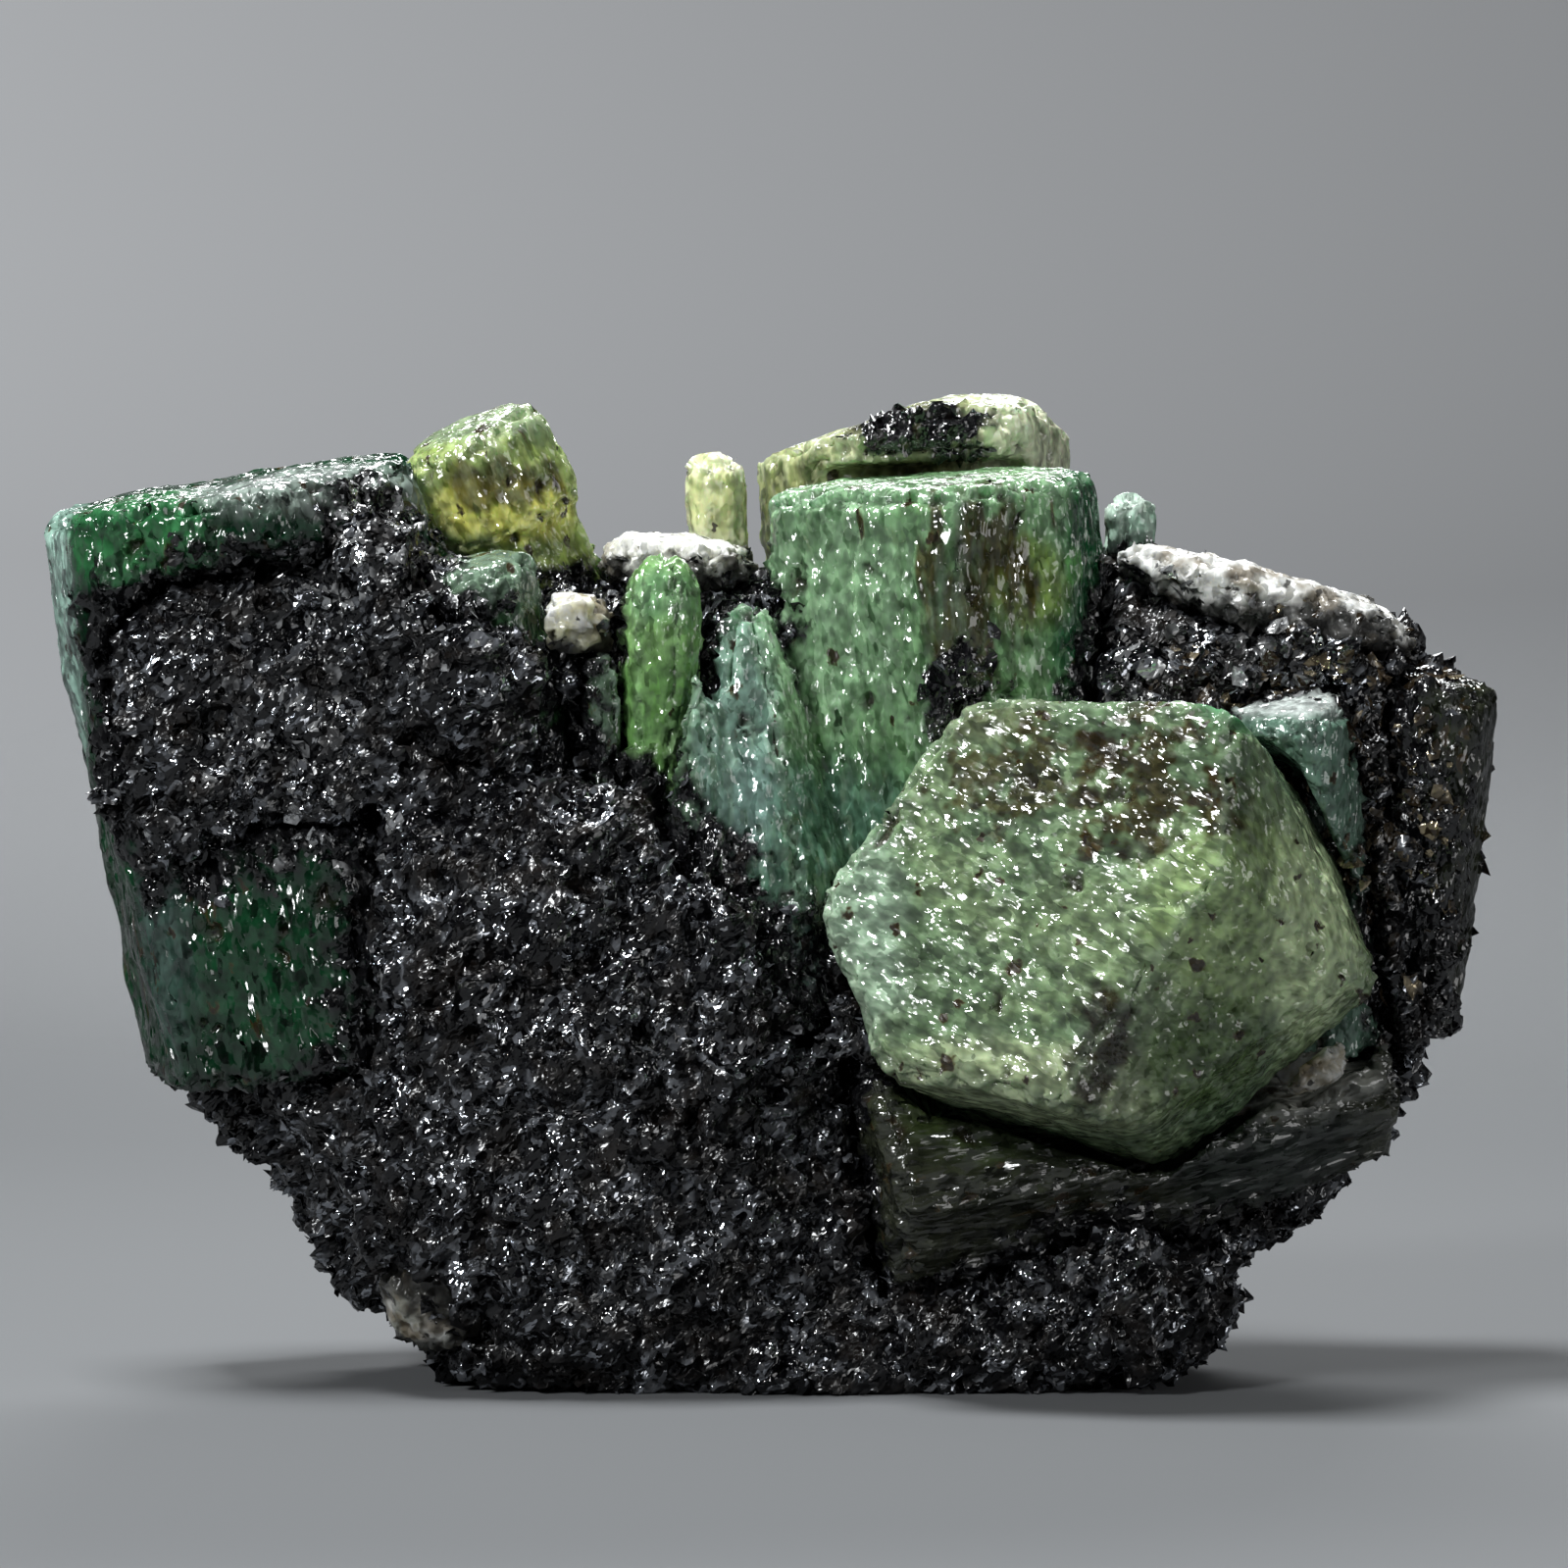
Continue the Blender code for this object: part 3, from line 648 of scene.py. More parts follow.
@dataclass(frozen=True)
class Pale:
    """Finish of a pale quartz or feldspar grain.

    Attributes:
        name: Name of the material.
        kind: Mineral.
        body: Main colour.
        stain: Colour of the iron stains.
        milk: Colour of the cloudy places.
        mica: Share of the black mica specks on it.
    """

    name: str
    kind: StoneKind
    body: Triple
    stain: Triple = (0.16, 0.11, 0.045)
    milk: Triple = (0.8, 0.8, 0.76)
    mica: float = 0.3

    DIRT: ClassVar[Triple] = (0.016, 0.014, 0.012)
    MILK: ClassVar[dict[str, float]] = {"Size": 1.1, "Low": 0.4, "High": 0.62}
    STAIN: ClassVar[dict[str, float]] = {"Size": 1.9, "Low": 0.5, "High": 0.66}
    SPECK: ClassVar[dict[str, float]] = {"Stretch": 1.3, "Size": 0.7}
    FACET: ClassVar[dict[str, float]] = {"Stretch": 1.2, "Size": 0.4}
    STAIN_SHARE: ClassVar[float] = 0.7
    DIRT_SHARE: ClassVar[float] = 0.9
    BUMP: ClassVar[Pair] = (0.8, 0.4)
    GLOW: ClassVar[dict[str, Feed]] = {"Subsurface Radius": (1.0, 0.95, 0.8), "Subsurface Scale": MM}
    LOOKS: ClassVar[dict[StoneKind, tuple[float, ...]]] = {  # roughness from, to, lean and glow
        StoneKind.QUARTZ: (0.08, 0.32, 0.8, 0.5),
        StoneKind.FELDSPAR: (0.14, 0.4, 1.2, 0.25),
    }

    def make(self, effects: Effects) -> Material:
        """Return the material."""
        material, bench, surface = open_material(self.name)
        place = place_in_mm(bench)
        milk = bench.group(effects.cloud, {"Place": place, **self.MILK})
        colour = bench.blend(milk.outputs[0], self.body, self.milk)
        rust = bench.group(effects.cloud, {"Place": place, **self.STAIN})
        colour = bench.blend(bench.times(rust.outputs[0], self.STAIN_SHARE), colour, self.stain)
        inputs = {"Place": place, "Along": UP, "Share": self.mica, **self.SPECK}
        speck = bench.group(effects.flecks, inputs)
        dark = bench.math("MAXIMUM", speck.outputs[0], bench.painted(HOLLOW))
        dark = bench.math("MAXIMUM", dark, bench.painted(COVER))
        colour = bench.blend(bench.times(dark, self.DIRT_SHARE), colour, self.DIRT)
        low, high, tilt, weight = self.LOOKS[self.kind]
        grain = bench.noise(place, 2.0, 2.0, 0.6).outputs[0]
        inputs = {"Place": place, "Along": UP, "Tilt": tilt, **self.FACET}
        cover_with_facets(bench, effects, surface, inputs, self.BUMP)
        inputs = {"Base Color": colour, "Roughness": bench.between(grain, low, high)}
        bench.fill(surface, {**inputs, "Subsurface Weight": weight, **self.GLOW})
        return material


@dataclass(frozen=True)
class Relief:
    """Carving of a crystal's or stone's skin, in mm.

    Attributes:
        voxel: Spacing of the skin's points.
        lift: How far the skin is moved out.
        swell: Size and depth of the broad waves.
        rib: Width and depth of the ribs along the sides.
        grain: Size and depth of the small dimples.
        pit: Size and depth of the pits.
        pit_share: Share of the pits that are there.
        plate: Size and lean of the broken plates of mica.
        wear: Depth of the chips along the edges.
        creep: How far the mica creeps over the piece.
        cover: Least share of mica all over the piece.
        patches: Middles of the patches of mica on the piece.
        seed: Draw of the pattern.
    """

    voxel: float = 0.22
    lift: float = 0.0
    swell: Pair = (3.4, 0.4)
    rib: Pair = (0.9, 0.25)
    grain: Pair = (0.75, 0.22)
    pit: Pair = (1.5, 0.4)
    pit_share: float = 0.25
    plate: Pair = (1.0, 0.8)
    wear: float = 0.5
    creep: float = 1.5
    cover: float = 0.0
    patches: tuple[Triple, ...] = ((0.0, 0.0, -1000.0),)
    seed: int = 1


class SkinTree:
    """The Geometry Nodes tree that carves the skin of every crystal and stone, and of the mica."""

    NUMBERS = (
        "Lift", "Swell Size", "Swell Depth", "Rib Size", "Rib Depth", "Grain Size", "Grain Depth",
        "Pit Size", "Pit Depth", "Pit Share", "Plate Size", "Plate Lean", "Wear", "Creep", "Cover", "Seed",
    )
    ROUNDING = 14
    ROUNDED = 0.6
    PATCH_REACH = 1.9
    MICA_RISE = 0.12
    SEED_STEP: Triple = (17.3, 5.1, 9.7)

    def __init__(self) -> None:
        """Build the tree."""
        takes = {"Geometry": SocketKind.SHAPE, "Along": SocketKind.VECTOR, "Material": SocketKind.FINISH}
        takes |= {"Neighbour": SocketKind.THING, "Patches": SocketKind.THING}
        takes |= numbers(*self.NUMBERS)
        self.bench, self.take, give = open_tree(
            TreeKind.GEOMETRY, "Carved skin", takes, {"Geometry": SocketKind.SHAPE}
        )
        bench, take = self.bench, self.take
        place = bench.vector("ADD", bench.spot(), bench.scaled(self.SEED_STEP, take["Seed"]))
        normal = bench.add("GeometryNodeInputNormal").outputs[0]
        edge, inward = self.edges(normal)
        shape = bench.keep(take["Geometry"], GAP, bench.way_to(take["Neighbour"], "FACES"))
        shape = bench.keep(shape, COVER, self.cover(place))
        shape = bench.keep(shape, EDGE, edge)
        shape = bench.keep(shape, HOLLOW, self.pits(place))
        cover = bench.kept(COVER)
        stone = bench.math("SUBTRACT", self.waves(place, normal), self.lost(place))
        mica = bench.math("ADD", self.broken_plates(place), self.MICA_RISE)
        rise = bench.math("ADD", stone, bench.times(cover, mica))
        rise = bench.math("ADD", rise, take["Lift"])
        move = bench.scaled(normal, bench.times(rise, MM))
        move = bench.vector("ADD", move, bench.scaled(inward, self.ROUNDED))
        floored = self.keep_above_floor(bench.moved(shape, Offset=move))
        bench.feed(give["Geometry"], bench.finished(floored, take["Material"]))

    def edges(self, normal: Socket) -> tuple[Socket, Socket]:
        """Return the mask of the ridges, and the move that rounds them."""
        bench = self.bench
        spot = bench.add("GeometryNodeInputPosition").outputs[0]
        inputs = {"Value": spot, "Iterations": self.ROUNDING}
        soft = bench.place("GeometryNodeBlurAttribute", inputs, data_type="FLOAT_VECTOR")
        inward = bench.vector("SUBTRACT", soft.outputs[0], spot)
        out = bench.times(bench.vector("DOT_PRODUCT", inward, normal), -PER_METRE)
        return bench.step(out, 0.02, 0.12), inward

    def cover(self, place: Socket) -> Socket:
        """Return how much mica lies over a point: next to the mica, in patches, or all over."""
        bench, take = self.bench, self.take
        torn = bench.math("SUBTRACT", bench.noise(place, 0.8, 3.0, 0.65).outputs[0], 0.5)
        reach = take["Creep"]
        away = bench.math("MULTIPLY_ADD", bench.times(torn, 3.2), reach, bench.kept(GAP))
        near = bench.step(away, reach, bench.times(reach, 0.55))
        far = bench.way_to(take["Patches"], "POINTS")
        patch_away = bench.math("MULTIPLY_ADD", torn, 5.5, far)
        patch = bench.step(patch_away, self.PATCH_REACH, 0.75 * self.PATCH_REACH)
        return bench.math("MAXIMUM", bench.math("MAXIMUM", near, patch), take["Cover"])

    def lost(self, place: Socket) -> Socket:
        """Return how deep the pits and the chips along the edges go, in mm."""
        bench, take = self.bench, self.take
        pit = bench.times(bench.kept(HOLLOW), take["Pit Depth"])
        chip = bench.step(bench.noise(place, 1.1, 2.0, 0.6).outputs[0], 0.42, 0.62)
        worn = bench.times(bench.times(chip, bench.kept(EDGE)), take["Wear"])
        return bench.math("ADD", pit, worn)

    def waves(self, place: Socket, normal: Socket) -> Socket:
        """Return the broad waves, the ribs along the sides and the small dimples, in mm."""
        bench, take = self.bench, self.take
        swell = self.wave(place, take["Swell Size"], take["Swell Depth"])
        ribbed = bench.stretched(place, take["Along"], 7.0)
        rib = self.wave(ribbed, take["Rib Size"], take["Rib Depth"])
        facing = bench.vector("DOT_PRODUCT", normal, take["Along"])
        side = bench.math("SUBTRACT", 1.0, bench.times(facing, facing))
        grained = bench.stretched(place, take["Along"], 1.8)
        grain = self.wave(grained, take["Grain Size"], take["Grain Depth"])
        return bench.math("ADD", bench.math("MULTIPLY_ADD", rib, side, swell), grain)

    def wave(self, place: Socket, size: Socket, depth: Socket) -> Socket:
        """Return a noise of a given size that goes up and down by half its depth."""
        bench = self.bench
        cloud = bench.noise(place, bench.math("DIVIDE", 1.0, size), 2.0, 0.5)
        return bench.times(bench.math("SUBTRACT", cloud.outputs[0], 0.5), depth)

    def pits(self, place: Socket) -> Socket:
        """Return the mask of the pits."""
        bench, take = self.bench, self.take
        local = bench.shrunk(place, take["Pit Size"])
        return bench.spots(local, (1.9, 1.1), take["Pit Share"], radius=(0.25, 0.2), core=0.4)

    def broken_plates(self, place: Socket) -> Socket:
        """Return the height of plates that lean at random, in two sizes, in mm."""
        bench, take = self.bench, self.take
        total: Feed = 0.0
        for share in (1.0, 0.45):
            size = bench.times(take["Plate Size"], share)
            local = bench.shrunk(place, size)
            cell = bench.cells(local)
            inside = bench.vector("SUBTRACT", local, cell.outputs["Position"])
            lean = bench.vector("SUBTRACT", cell.outputs["Color"], MIDDLE)
            height = bench.times(bench.vector("DOT_PRODUCT", inside, lean), size)
            total = bench.math("MULTIPLY_ADD", height, take["Plate Lean"], total)
        return total

    def keep_above_floor(self, shape: Socket) -> Socket:
        """Return the shape with nothing under the flat it stands on."""
        bench = self.bench
        x, y, z = bench.split(bench.add("GeometryNodeInputPosition").outputs[0])
        return bench.moved(shape, Position=bench.joined(x, y, bench.math("MAXIMUM", z, 0.0)))

    def carve(
        self,
        name: str,
        base: Object,
        relief: Relief,
        along: Triple,
        material: Material,
        neighbour: Object,
    ) -> Object:
        """Carve a skin on a plain closed shape.

        Args:
            name: Name of the finished piece.
            base: The plain shape, which is used up.
            relief: Sizes of the carving.
            along: Direction of growth.
            material: Finish of the piece.
            neighbour: The mica's plain shape, or for the mica the crystals'.

        Returns:
            The finished piece, a plain mesh.
        """
        skin = base.modifiers.new("Skin", "REMESH")
        skin.mode, skin.voxel_size = "VOXEL", relief.voxel * MM
        skin.use_smooth_shade = True
        patches = bpy.data.meshes.new("patches")
        patches.from_pydata([Vector(middle) * MM for middle in relief.patches], [], [])
        guide = add_object("patches", patches)
        values = as_inputs(relief)
        values |= {"Along": along, "Material": material, "Neighbour": neighbour, "Patches": guide}
        values["Seed"] = float(relief.seed)
        values["Plate Size"], values["Plate Lean"] = relief.plate
        for label in ("Swell", "Rib", "Grain", "Pit"):
            values[f"{label} Size"], values[f"{label} Depth"] = values[label]
        attach(base, self.bench.tree, values)
        item = settle(base, name)
        bpy.data.objects.remove(guide)
        return item


def attach(item: Object, tree: NodeTree, values: dict[str, object]) -> None:
    """Hang a Geometry Nodes tree on an object.

    Args:
        item: The object.
        tree: The tree.
        values: Value of each input, by the input's name.
    """
    modifier = item.modifiers.new(tree.name, "NODES")
    modifier.node_group = tree
    for socket in tree.interface.items_tree:
        if socket.in_out == "INPUT" and socket.name in values:
            modifier[socket.identifier] = values[socket.name]


def settle(item: Object, name: str) -> Object:
    """Return a plain mesh object in place of one with modifiers, which is removed."""
    bpy.context.view_layer.update()
    graph = bpy.context.evaluated_depsgraph_get()
    mesh = bpy.data.meshes.new_from_object(item.evaluated_get(graph), depsgraph=graph)
    bpy.data.objects.remove(item)
    mesh.name = name
    return add_object(name, mesh)


def add_object(name: str, data: bpy.types.ID) -> Object:
    """Put a mesh, a light or a camera into the scene."""
    item = bpy.data.objects.new(name, data)
    bpy.context.scene.collection.objects.link(item)
    return item


def written(mesh: bmesh.types.BMesh, name: str) -> Mesh:
    """Return a new mesh with the shape of a working mesh, which is freed."""
    data = bpy.data.meshes.new(name)
    mesh.to_mesh(data)
    mesh.free()
    return data


def copy_of_nodes(name: str, nodes: list[str]) -> Object:
    """Return one new object with the merged shapes of some CAD nodes, a closed mesh for each."""
    mesh = bmesh.new()
    for node in nodes:
        mesh.from_mesh(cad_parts[node].data)
    bmesh.ops.remove_doubles(mesh, verts=mesh.verts, dist=0.001 * MM)
    return add_object(name, written(mesh, name))


def triangles(item: Object) -> int:
    """Return the number of an object's triangles."""
    return sum(len(face.vertices) - 2 for face in item.data.polygons)


def hand_over(item: Object, replaced: tuple[str, ...] = ()) -> None:
    """Tie a finished piece to the frame.

    Args:
        item: The piece.
        replaced: CAD nodes that it stands for.
    """
    if replaced:
        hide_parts(*replaced)
    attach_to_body(item, BODY)
    low, high = Vector(item.bound_box[0]), Vector(item.bound_box[6])
    spread = " x ".join(f"{edge * PER_METRE:.1f}" for edge in high - low)
    LOG.info("%s: %d triangles, %s mm", item.name, triangles(item), spread)


@dataclass(frozen=True)
class CrystalPiece:
    """One crystal, or one grain, carved on its CAD solid.

    Attributes:
        node: CAD node.
        piece: Name of the finished piece.
        finish: Its finish.
        relief: Its carving.
        along: Direction of growth.
    """

    node: str
    piece: str
    finish: Beryl | Pale
    relief: Relief
    along: Triple = UP

    def build(self, skin: SkinTree, effects: Effects, mica: Object) -> Object:
        """Carve and dress the piece.

        Args:
            skin: The carving tree.
            effects: The shared shader effects.
            mica: The mica's plain shape.

        Returns:
            The finished piece.
        """
        base = copy_of_nodes(self.piece, [self.node])
        item = skin.carve(self.piece, base, self.relief, self.along, self.finish.make(effects), mica)
        hand_over(item, (self.node,))
        return item


class FlakeTree:
    """The Geometry Nodes tree that scatters bent mica flakes over a surface."""

    NUMBERS = (
        "Per Mm2", "Size", "Spread", "Thickness", "Bend", "Lean", "Flow", "Sink", "Clump", "Keep Off",
        "Reach",
    )
    DRAWS = {"FLOAT_VECTOR": (0, 0), "FLOAT": (2, 1), "INT": (4, 2)}  # first input and output of each kind
    FORMS = 4
    SIDES = 6
    BARE_FOOT = 0.5
    SOFT_BORDER = 0.7
    RAGGED = 0.3
    LEAST_SIZE = 0.6
    LENGTHS: Triple = (1.0, 0.72, 1.0)

    def __init__(self) -> None:
        """Build the tree."""
        takes = {"Geometry": SocketKind.SHAPE, "Material": SocketKind.FINISH}
        takes |= {"Centre": SocketKind.VECTOR, "Seed": SocketKind.WHOLE, **numbers(*self.NUMBERS)}
        self.bench, self.take, give = open_tree(
            TreeKind.GEOMETRY, "Mica flakes", takes, {"Geometry": SocketKind.SHAPE}
        )
        bench, take = self.bench, self.take
        points, normal = self.points()
        placed = bench.place("GeometryNodeInstanceOnPoints", {
            "Points": points,
            "Instance": self.forms(),
            "Pick Instance": True,
            "Instance Index": self.draw("INT", 0, self.FORMS - 1, 11),
            "Rotation": self.turn(normal),
            "Scale": self.size(),
        })
        shaded = bench.place(
            "GeometryNodeStoreNamedAttribute",
            {"Geometry": placed.outputs[0], "Name": SHADE, "Value": self.random(0.0, 1.0, 23)},
            data_type="FLOAT", domain="INSTANCE",
        )
        bench.feed(give["Geometry"], bench.finished(shaded.outputs[0], take["Material"]))

    def draw(self, kind: str, low: Feed, high: Feed, offset: int) -> Socket:
        """Return a random value for each flake or point.

        Args:
            kind: Kind of the value, one of DRAWS.
            low: Least value.
            high: Greatest value.
            offset: Which of the bed's draws it is.
        """
        first, result = self.DRAWS[kind]
        seed = self.bench.math("ADD", self.take["Seed"], float(offset))
        inputs = {first: low, first + 1: high, "Seed": seed}
        return self.bench.place("FunctionNodeRandomValue", inputs, data_type=kind).outputs[result]

    def random(self, low: float, high: float, offset: int) -> Socket:
        """Return a random number."""
        return self.draw("FLOAT", low, high, offset)

    def random_vector(self, offset: int) -> Socket:
        """Return a random vector, each way up to one."""
        return self.draw("FLOAT_VECTOR", (-1.0, -1.0, -1.0), (1.0, 1.0, 1.0), offset)

    def points(self) -> tuple[Socket, Socket]:
        """Return the flakes' points, where mica shows and inside the region, and their normals."""
        bench, take = self.bench, self.take
        density = bench.times(take["Per Mm2"], PER_METRE * PER_METRE)
        crowd = bench.step(bench.noise(bench.spot(), 0.24, 2.0).outputs[0], 0.42, 0.6)
        uneven = bench.between(take["Clump"], 1.0, bench.times(crowd, 2.0))
        density = bench.times(density, uneven)
        density = bench.times(density, bench.kept(COVER))
        inputs = {"Mesh": take["Geometry"], "Density": density, "Seed": take["Seed"]}
        spread = bench.place("GeometryNodeDistributePointsOnFaces", inputs, distribute_method="RANDOM")
        held = bench.place(
            "GeometryNodeStoreNamedAttribute",
            {"Geometry": spread.outputs[0], "Name": LIE, "Value": spread.outputs["Normal"]},
            data_type="FLOAT_VECTOR", domain="POINT",
        )
        hidden = bench.math("LESS_THAN", bench.kept(GAP), take["Keep Off"])
        distance = bench.vector("DISTANCE", bench.spot(), take["Centre"])
        away = bench.math("DIVIDE", distance, take["Reach"])
        drawn = bench.math("ADD", bench.times(self.random(0.0, 1.0, 31), self.SOFT_BORDER), away)
        outside = bench.math("GREATER_THAN", drawn, 1.0)
        low = bench.math("LESS_THAN", bench.split(bench.spot())[2], self.BARE_FOOT)
        gone = bench.math("MAXIMUM", bench.math("MAXIMUM", hidden, outside), low)
        inputs = {"Geometry": held.outputs[0], "Selection": gone}
        kept = bench.place("GeometryNodeDeleteGeometry", inputs).outputs[0]
        normal = bench.kept(LIE, "FLOAT_VECTOR")
        drop = bench.scaled(normal, bench.times(take["Sink"], -MM))
        return bench.moved(kept, Offset=drop), normal

    def forms(self) -> Socket:
        """Return a few bent six-sided flakes to draw from, each one millimetre across."""
        bench, take = self.bench, self.take
        joined = bench.add("GeometryNodeJoinGeometry")
        for form in range(self.FORMS):
            inputs = {"Segments": self.SIDES, "Rings": 2, "Radius": 0.5 * MM}
            lens = bench.place("GeometryNodeMeshUVSphere", inputs)
            spot = bench.add("GeometryNodeInputPosition").outputs[0]
            ragged = bench.scaled(self.random_vector(50 + form), self.RAGGED)
            factor = bench.vector("ADD", self.LENGTHS, ragged)
            x, y, z = bench.split(bench.vector("MULTIPLY", spot, factor))
            curl = bench.times(bench.times(x, x), bench.times(take["Bend"], PER_METRE))
            level = bench.math("ADD", bench.times(z, take["Thickness"]), curl)
            flake = bench.moved(lens.outputs[0], Position=bench.joined(x, y, level))
            inputs = {"Geometry": flake, "Shade Smooth": False}
            flat = bench.place("GeometryNodeSetShadeSmooth", inputs)
            single = bench.place("GeometryNodeGeometryToInstance", {"Geometry": flat.outputs[0]})
            bench.tree.links.new(single.outputs[0], joined.inputs[0])
        return joined.outputs[0]

    def turn(self, normal: Socket) -> Socket:
        """Return how each flake lies: with the surface, leaning with its neighbours and on its own."""
        bench, take = self.bench, self.take
        current = bench.noise(bench.spot(), 0.35, 2.0)
        flow = bench.swing(current.outputs[1], take["Flow"])
        own = bench.scaled(self.random_vector(61), take["Lean"])
        aim = bench.vector("ADD", bench.vector("ADD", normal, flow), own)
        lying = bench.place("FunctionNodeAlignRotationToVector", {"Vector": aim}, axis="Z")
        spin = bench.place(
            "FunctionNodeAxisAngleToRotation", {"Axis": UP, "Angle": self.random(0.0, math.tau, 71)}
        )
        turned = bench.place(
            "FunctionNodeRotateRotation",
            {"Rotation": lying.outputs[0], "Rotate By": spin.outputs[0]},
            rotation_space="LOCAL",
        )
        return turned.outputs[0]

    def size(self) -> Socket:
        """Return the scale of each flake: many small ones and a few large."""
        bench, take = self.bench, self.take
        drawn = self.random(0.0, 1.0, 83)
        large = bench.times(bench.times(drawn, drawn), take["Spread"])
        return bench.times(take["Size"], bench.math("ADD", self.LEAST_SIZE, large))


@dataclass(frozen=True)
class FlakeBed:
    """Loose-looking flakes of one tone, grown on some finished pieces.

    Attributes:
        piece: Name of the finished piece.
        finish: Finish of the flakes.
        per_mm2: Number of flakes on a square millimetre.
        size: Width of a middling flake in mm.
        spread: How much wider the large ones are.
        thickness: Thickness over width.
        bend: How curled they are.
        lean: How far each leans on its own.
        flow: How far neighbours lean together.
        sink: How deep they are set in, in mm.
        clump: How much they crowd together.
        keep_off: Depth of the gaps between mica and crystals that stay bare, in mm.
        centre: Middle of the region in mm.
        reach: Radius of the region in mm.
        seed: Draw of the scatter.
    """

    piece: str
    finish: Mica
    per_mm2: float
    size: float = 0.44
    spread: float = 1.7
    thickness: float = 0.16
    bend: float = 0.5
    lean: float = 0.16
    flow: float = 1.0
    sink: float = 0.04
    clump: float = 0.0
    keep_off: float = 0.5
    centre: Triple = (0.0, 0.0, 20.0)
    reach: float = 200.0
    seed: int = 1

    def build(self, tree: FlakeTree, effects: Effects, host: Mesh) -> Object:
        """Scatter the flakes and make them one plain mesh.

        Args:
            tree: The scattering tree.
            effects: The shared shader effects.
            host: Surface that they grow on, which is left as it is.

        Returns:
            The finished piece.
        """
        base = add_object(self.piece, host.copy())
        attach(base, tree.bench.tree, {**as_inputs(self), "Material": self.finish.make(effects)})
        item = settle(base, self.piece)
        hand_over(item)
        return item


def growth(foot: Triple, tip: Triple) -> Triple:
    """Return the unit direction in which a crystal grew."""
    return tuple((Vector(tip) - Vector(foot)).normalized())


FRONT_GROWTH = growth((15.08, -2.35, 17.09), (11.48, -13.4, 20.09))
CENTRAL_GROWTH = growth((8.2, 0.6, 11.0), (6.5, -2.0, 36.9))
LEFT_GROWTH = growth((-18.3, 1.8, 13.4), (-22.0, -0.8, 36.8))
TILTED_GROWTH = growth((-7.6, 2.0, 28.2), (-12.4, -1.0, 39.1))
LOWER_GROWTH = growth((24.8, -0.8, 12.6), (4.0, -5.6, 8.8))
GLINT_SLOPE = math.radians(30.0)
GLINTS_DOWN_RIGHT: Triple = (math.cos(GLINT_SLOPE), 0.0, -math.sin(GLINT_SLOPE))

EMERALD_PALE = Beryl(
    "emerald_pale",
    body=(0.145, 0.225, 0.12),
    cloud=(0.22, 0.31, 0.16),
    pale=(0.36, 0.46, 0.32),
    along=FRONT_GROWTH,
    streaks=0.1,
    specks=0.16,
    facet=0.32,
    facet_along=GLINTS_DOWN_RIGHT,
    facet_stretch=2.4,
    facet_tilt=0.85,
    glow=0.3,
    zones=(
        Zone((3.0, -12.0, 18.5), (2.6, 5.0, 5.5), (0.36, 0.5, 0.36)),
        Zone((9.0, -13.5, 12.3), (7.5, 6.0, 2.6), (0.44, 0.53, 0.3)),
        Zone((18.3, -13.0, 19.5), (4.2, 7.0, 4.6), (0.34, 0.48, 0.2), 0.8),
        # Painted shade: a dark patch on the lower right bevel, which faces away from the light.
        Zone((17.0, -11.0, 13.8), (3.4, 5.0, 2.8), (0.09, 0.16, 0.04), 0.8),
        Zone((21.6, -9.8, 18.6), (2.6, 6.0, 5.4), (0.6, 0.76, 0.42), 0.9),
        Zone((18.0, -11.0, 27.3), (1.7, 3.0, 1.7), (0.03, 0.26, 0.09)),
        Zone((8.5, -12.0, 27.2), (3.2, 3.0, 1.6), (0.12, 0.13, 0.06), 0.6, 1.2),
        Zone((9.5, -13.0, 24.9), (4.0, 3.0, 2.2), (0.05, 0.034, 0.01), 0.8, 4.4),
        Zone((14.6, -13.4, 24.8), (2.2, 3.0, 2.6), (0.04, 0.026, 0.008), 0.9, 4.2),
        Zone((17.6, -14.6, 23.5), (1.3, 3.0, 1.2), (0.04, 0.026, 0.008), 0.9, 2.6),
        Zone((12.9, -15.4, 14.4), (1.3, 2.5, 2.6), (0.02, 0.013, 0.004), 0.95, 2.4),
    ),
)
EMERALD_BLUE_GREEN = Beryl(
    "emerald_blue_green",
    body=(0.15, 0.29, 0.13),
    cloud=(0.21, 0.38, 0.19),
    pale=(0.36, 0.52, 0.36),
    along=CENTRAL_GROWTH,
    streaks=0.2,
    specks=0.12,
    facet_tilt=1.15,
    glow=0.3,
    zones=(
        Zone((2.0, -6.0, 32.5), (3.8, 6.0, 6.0), (0.3, 0.5, 0.28)),
        Zone((1.5, -7.0, 21.5), (7.0, 6.0, 4.5), (0.06, 0.14, 0.11)),
        Zone((-1.4, -7.0, 26.0), (2.0, 5.0, 6.0), (0.23, 0.37, 0.32)),
        Zone((0.2, -7.0, 15.5), (3.4, 5.0, 4.0), (0.07, 0.1, 0.12)),
        Zone((13.4, -3.0, 31.0), (2.5, 8.0, 10.0), (0.01, 0.11, 0.035), 1.0, 0.5),
        Zone((10.2, -7.0, 32.6), (2.2, 3.5, 2.0), (0.2, 0.3, 0.05)),
        Zone((8.0, -8.0, 32.0), (1.9, 4.0, 5.0), (0.05, 0.033, 0.008), 0.9, 4.2),
        Zone((12.3, -6.0, 33.3), (0.5, 2.0, 0.9), (0.2, 0.6, 0.16)),
    ),
)
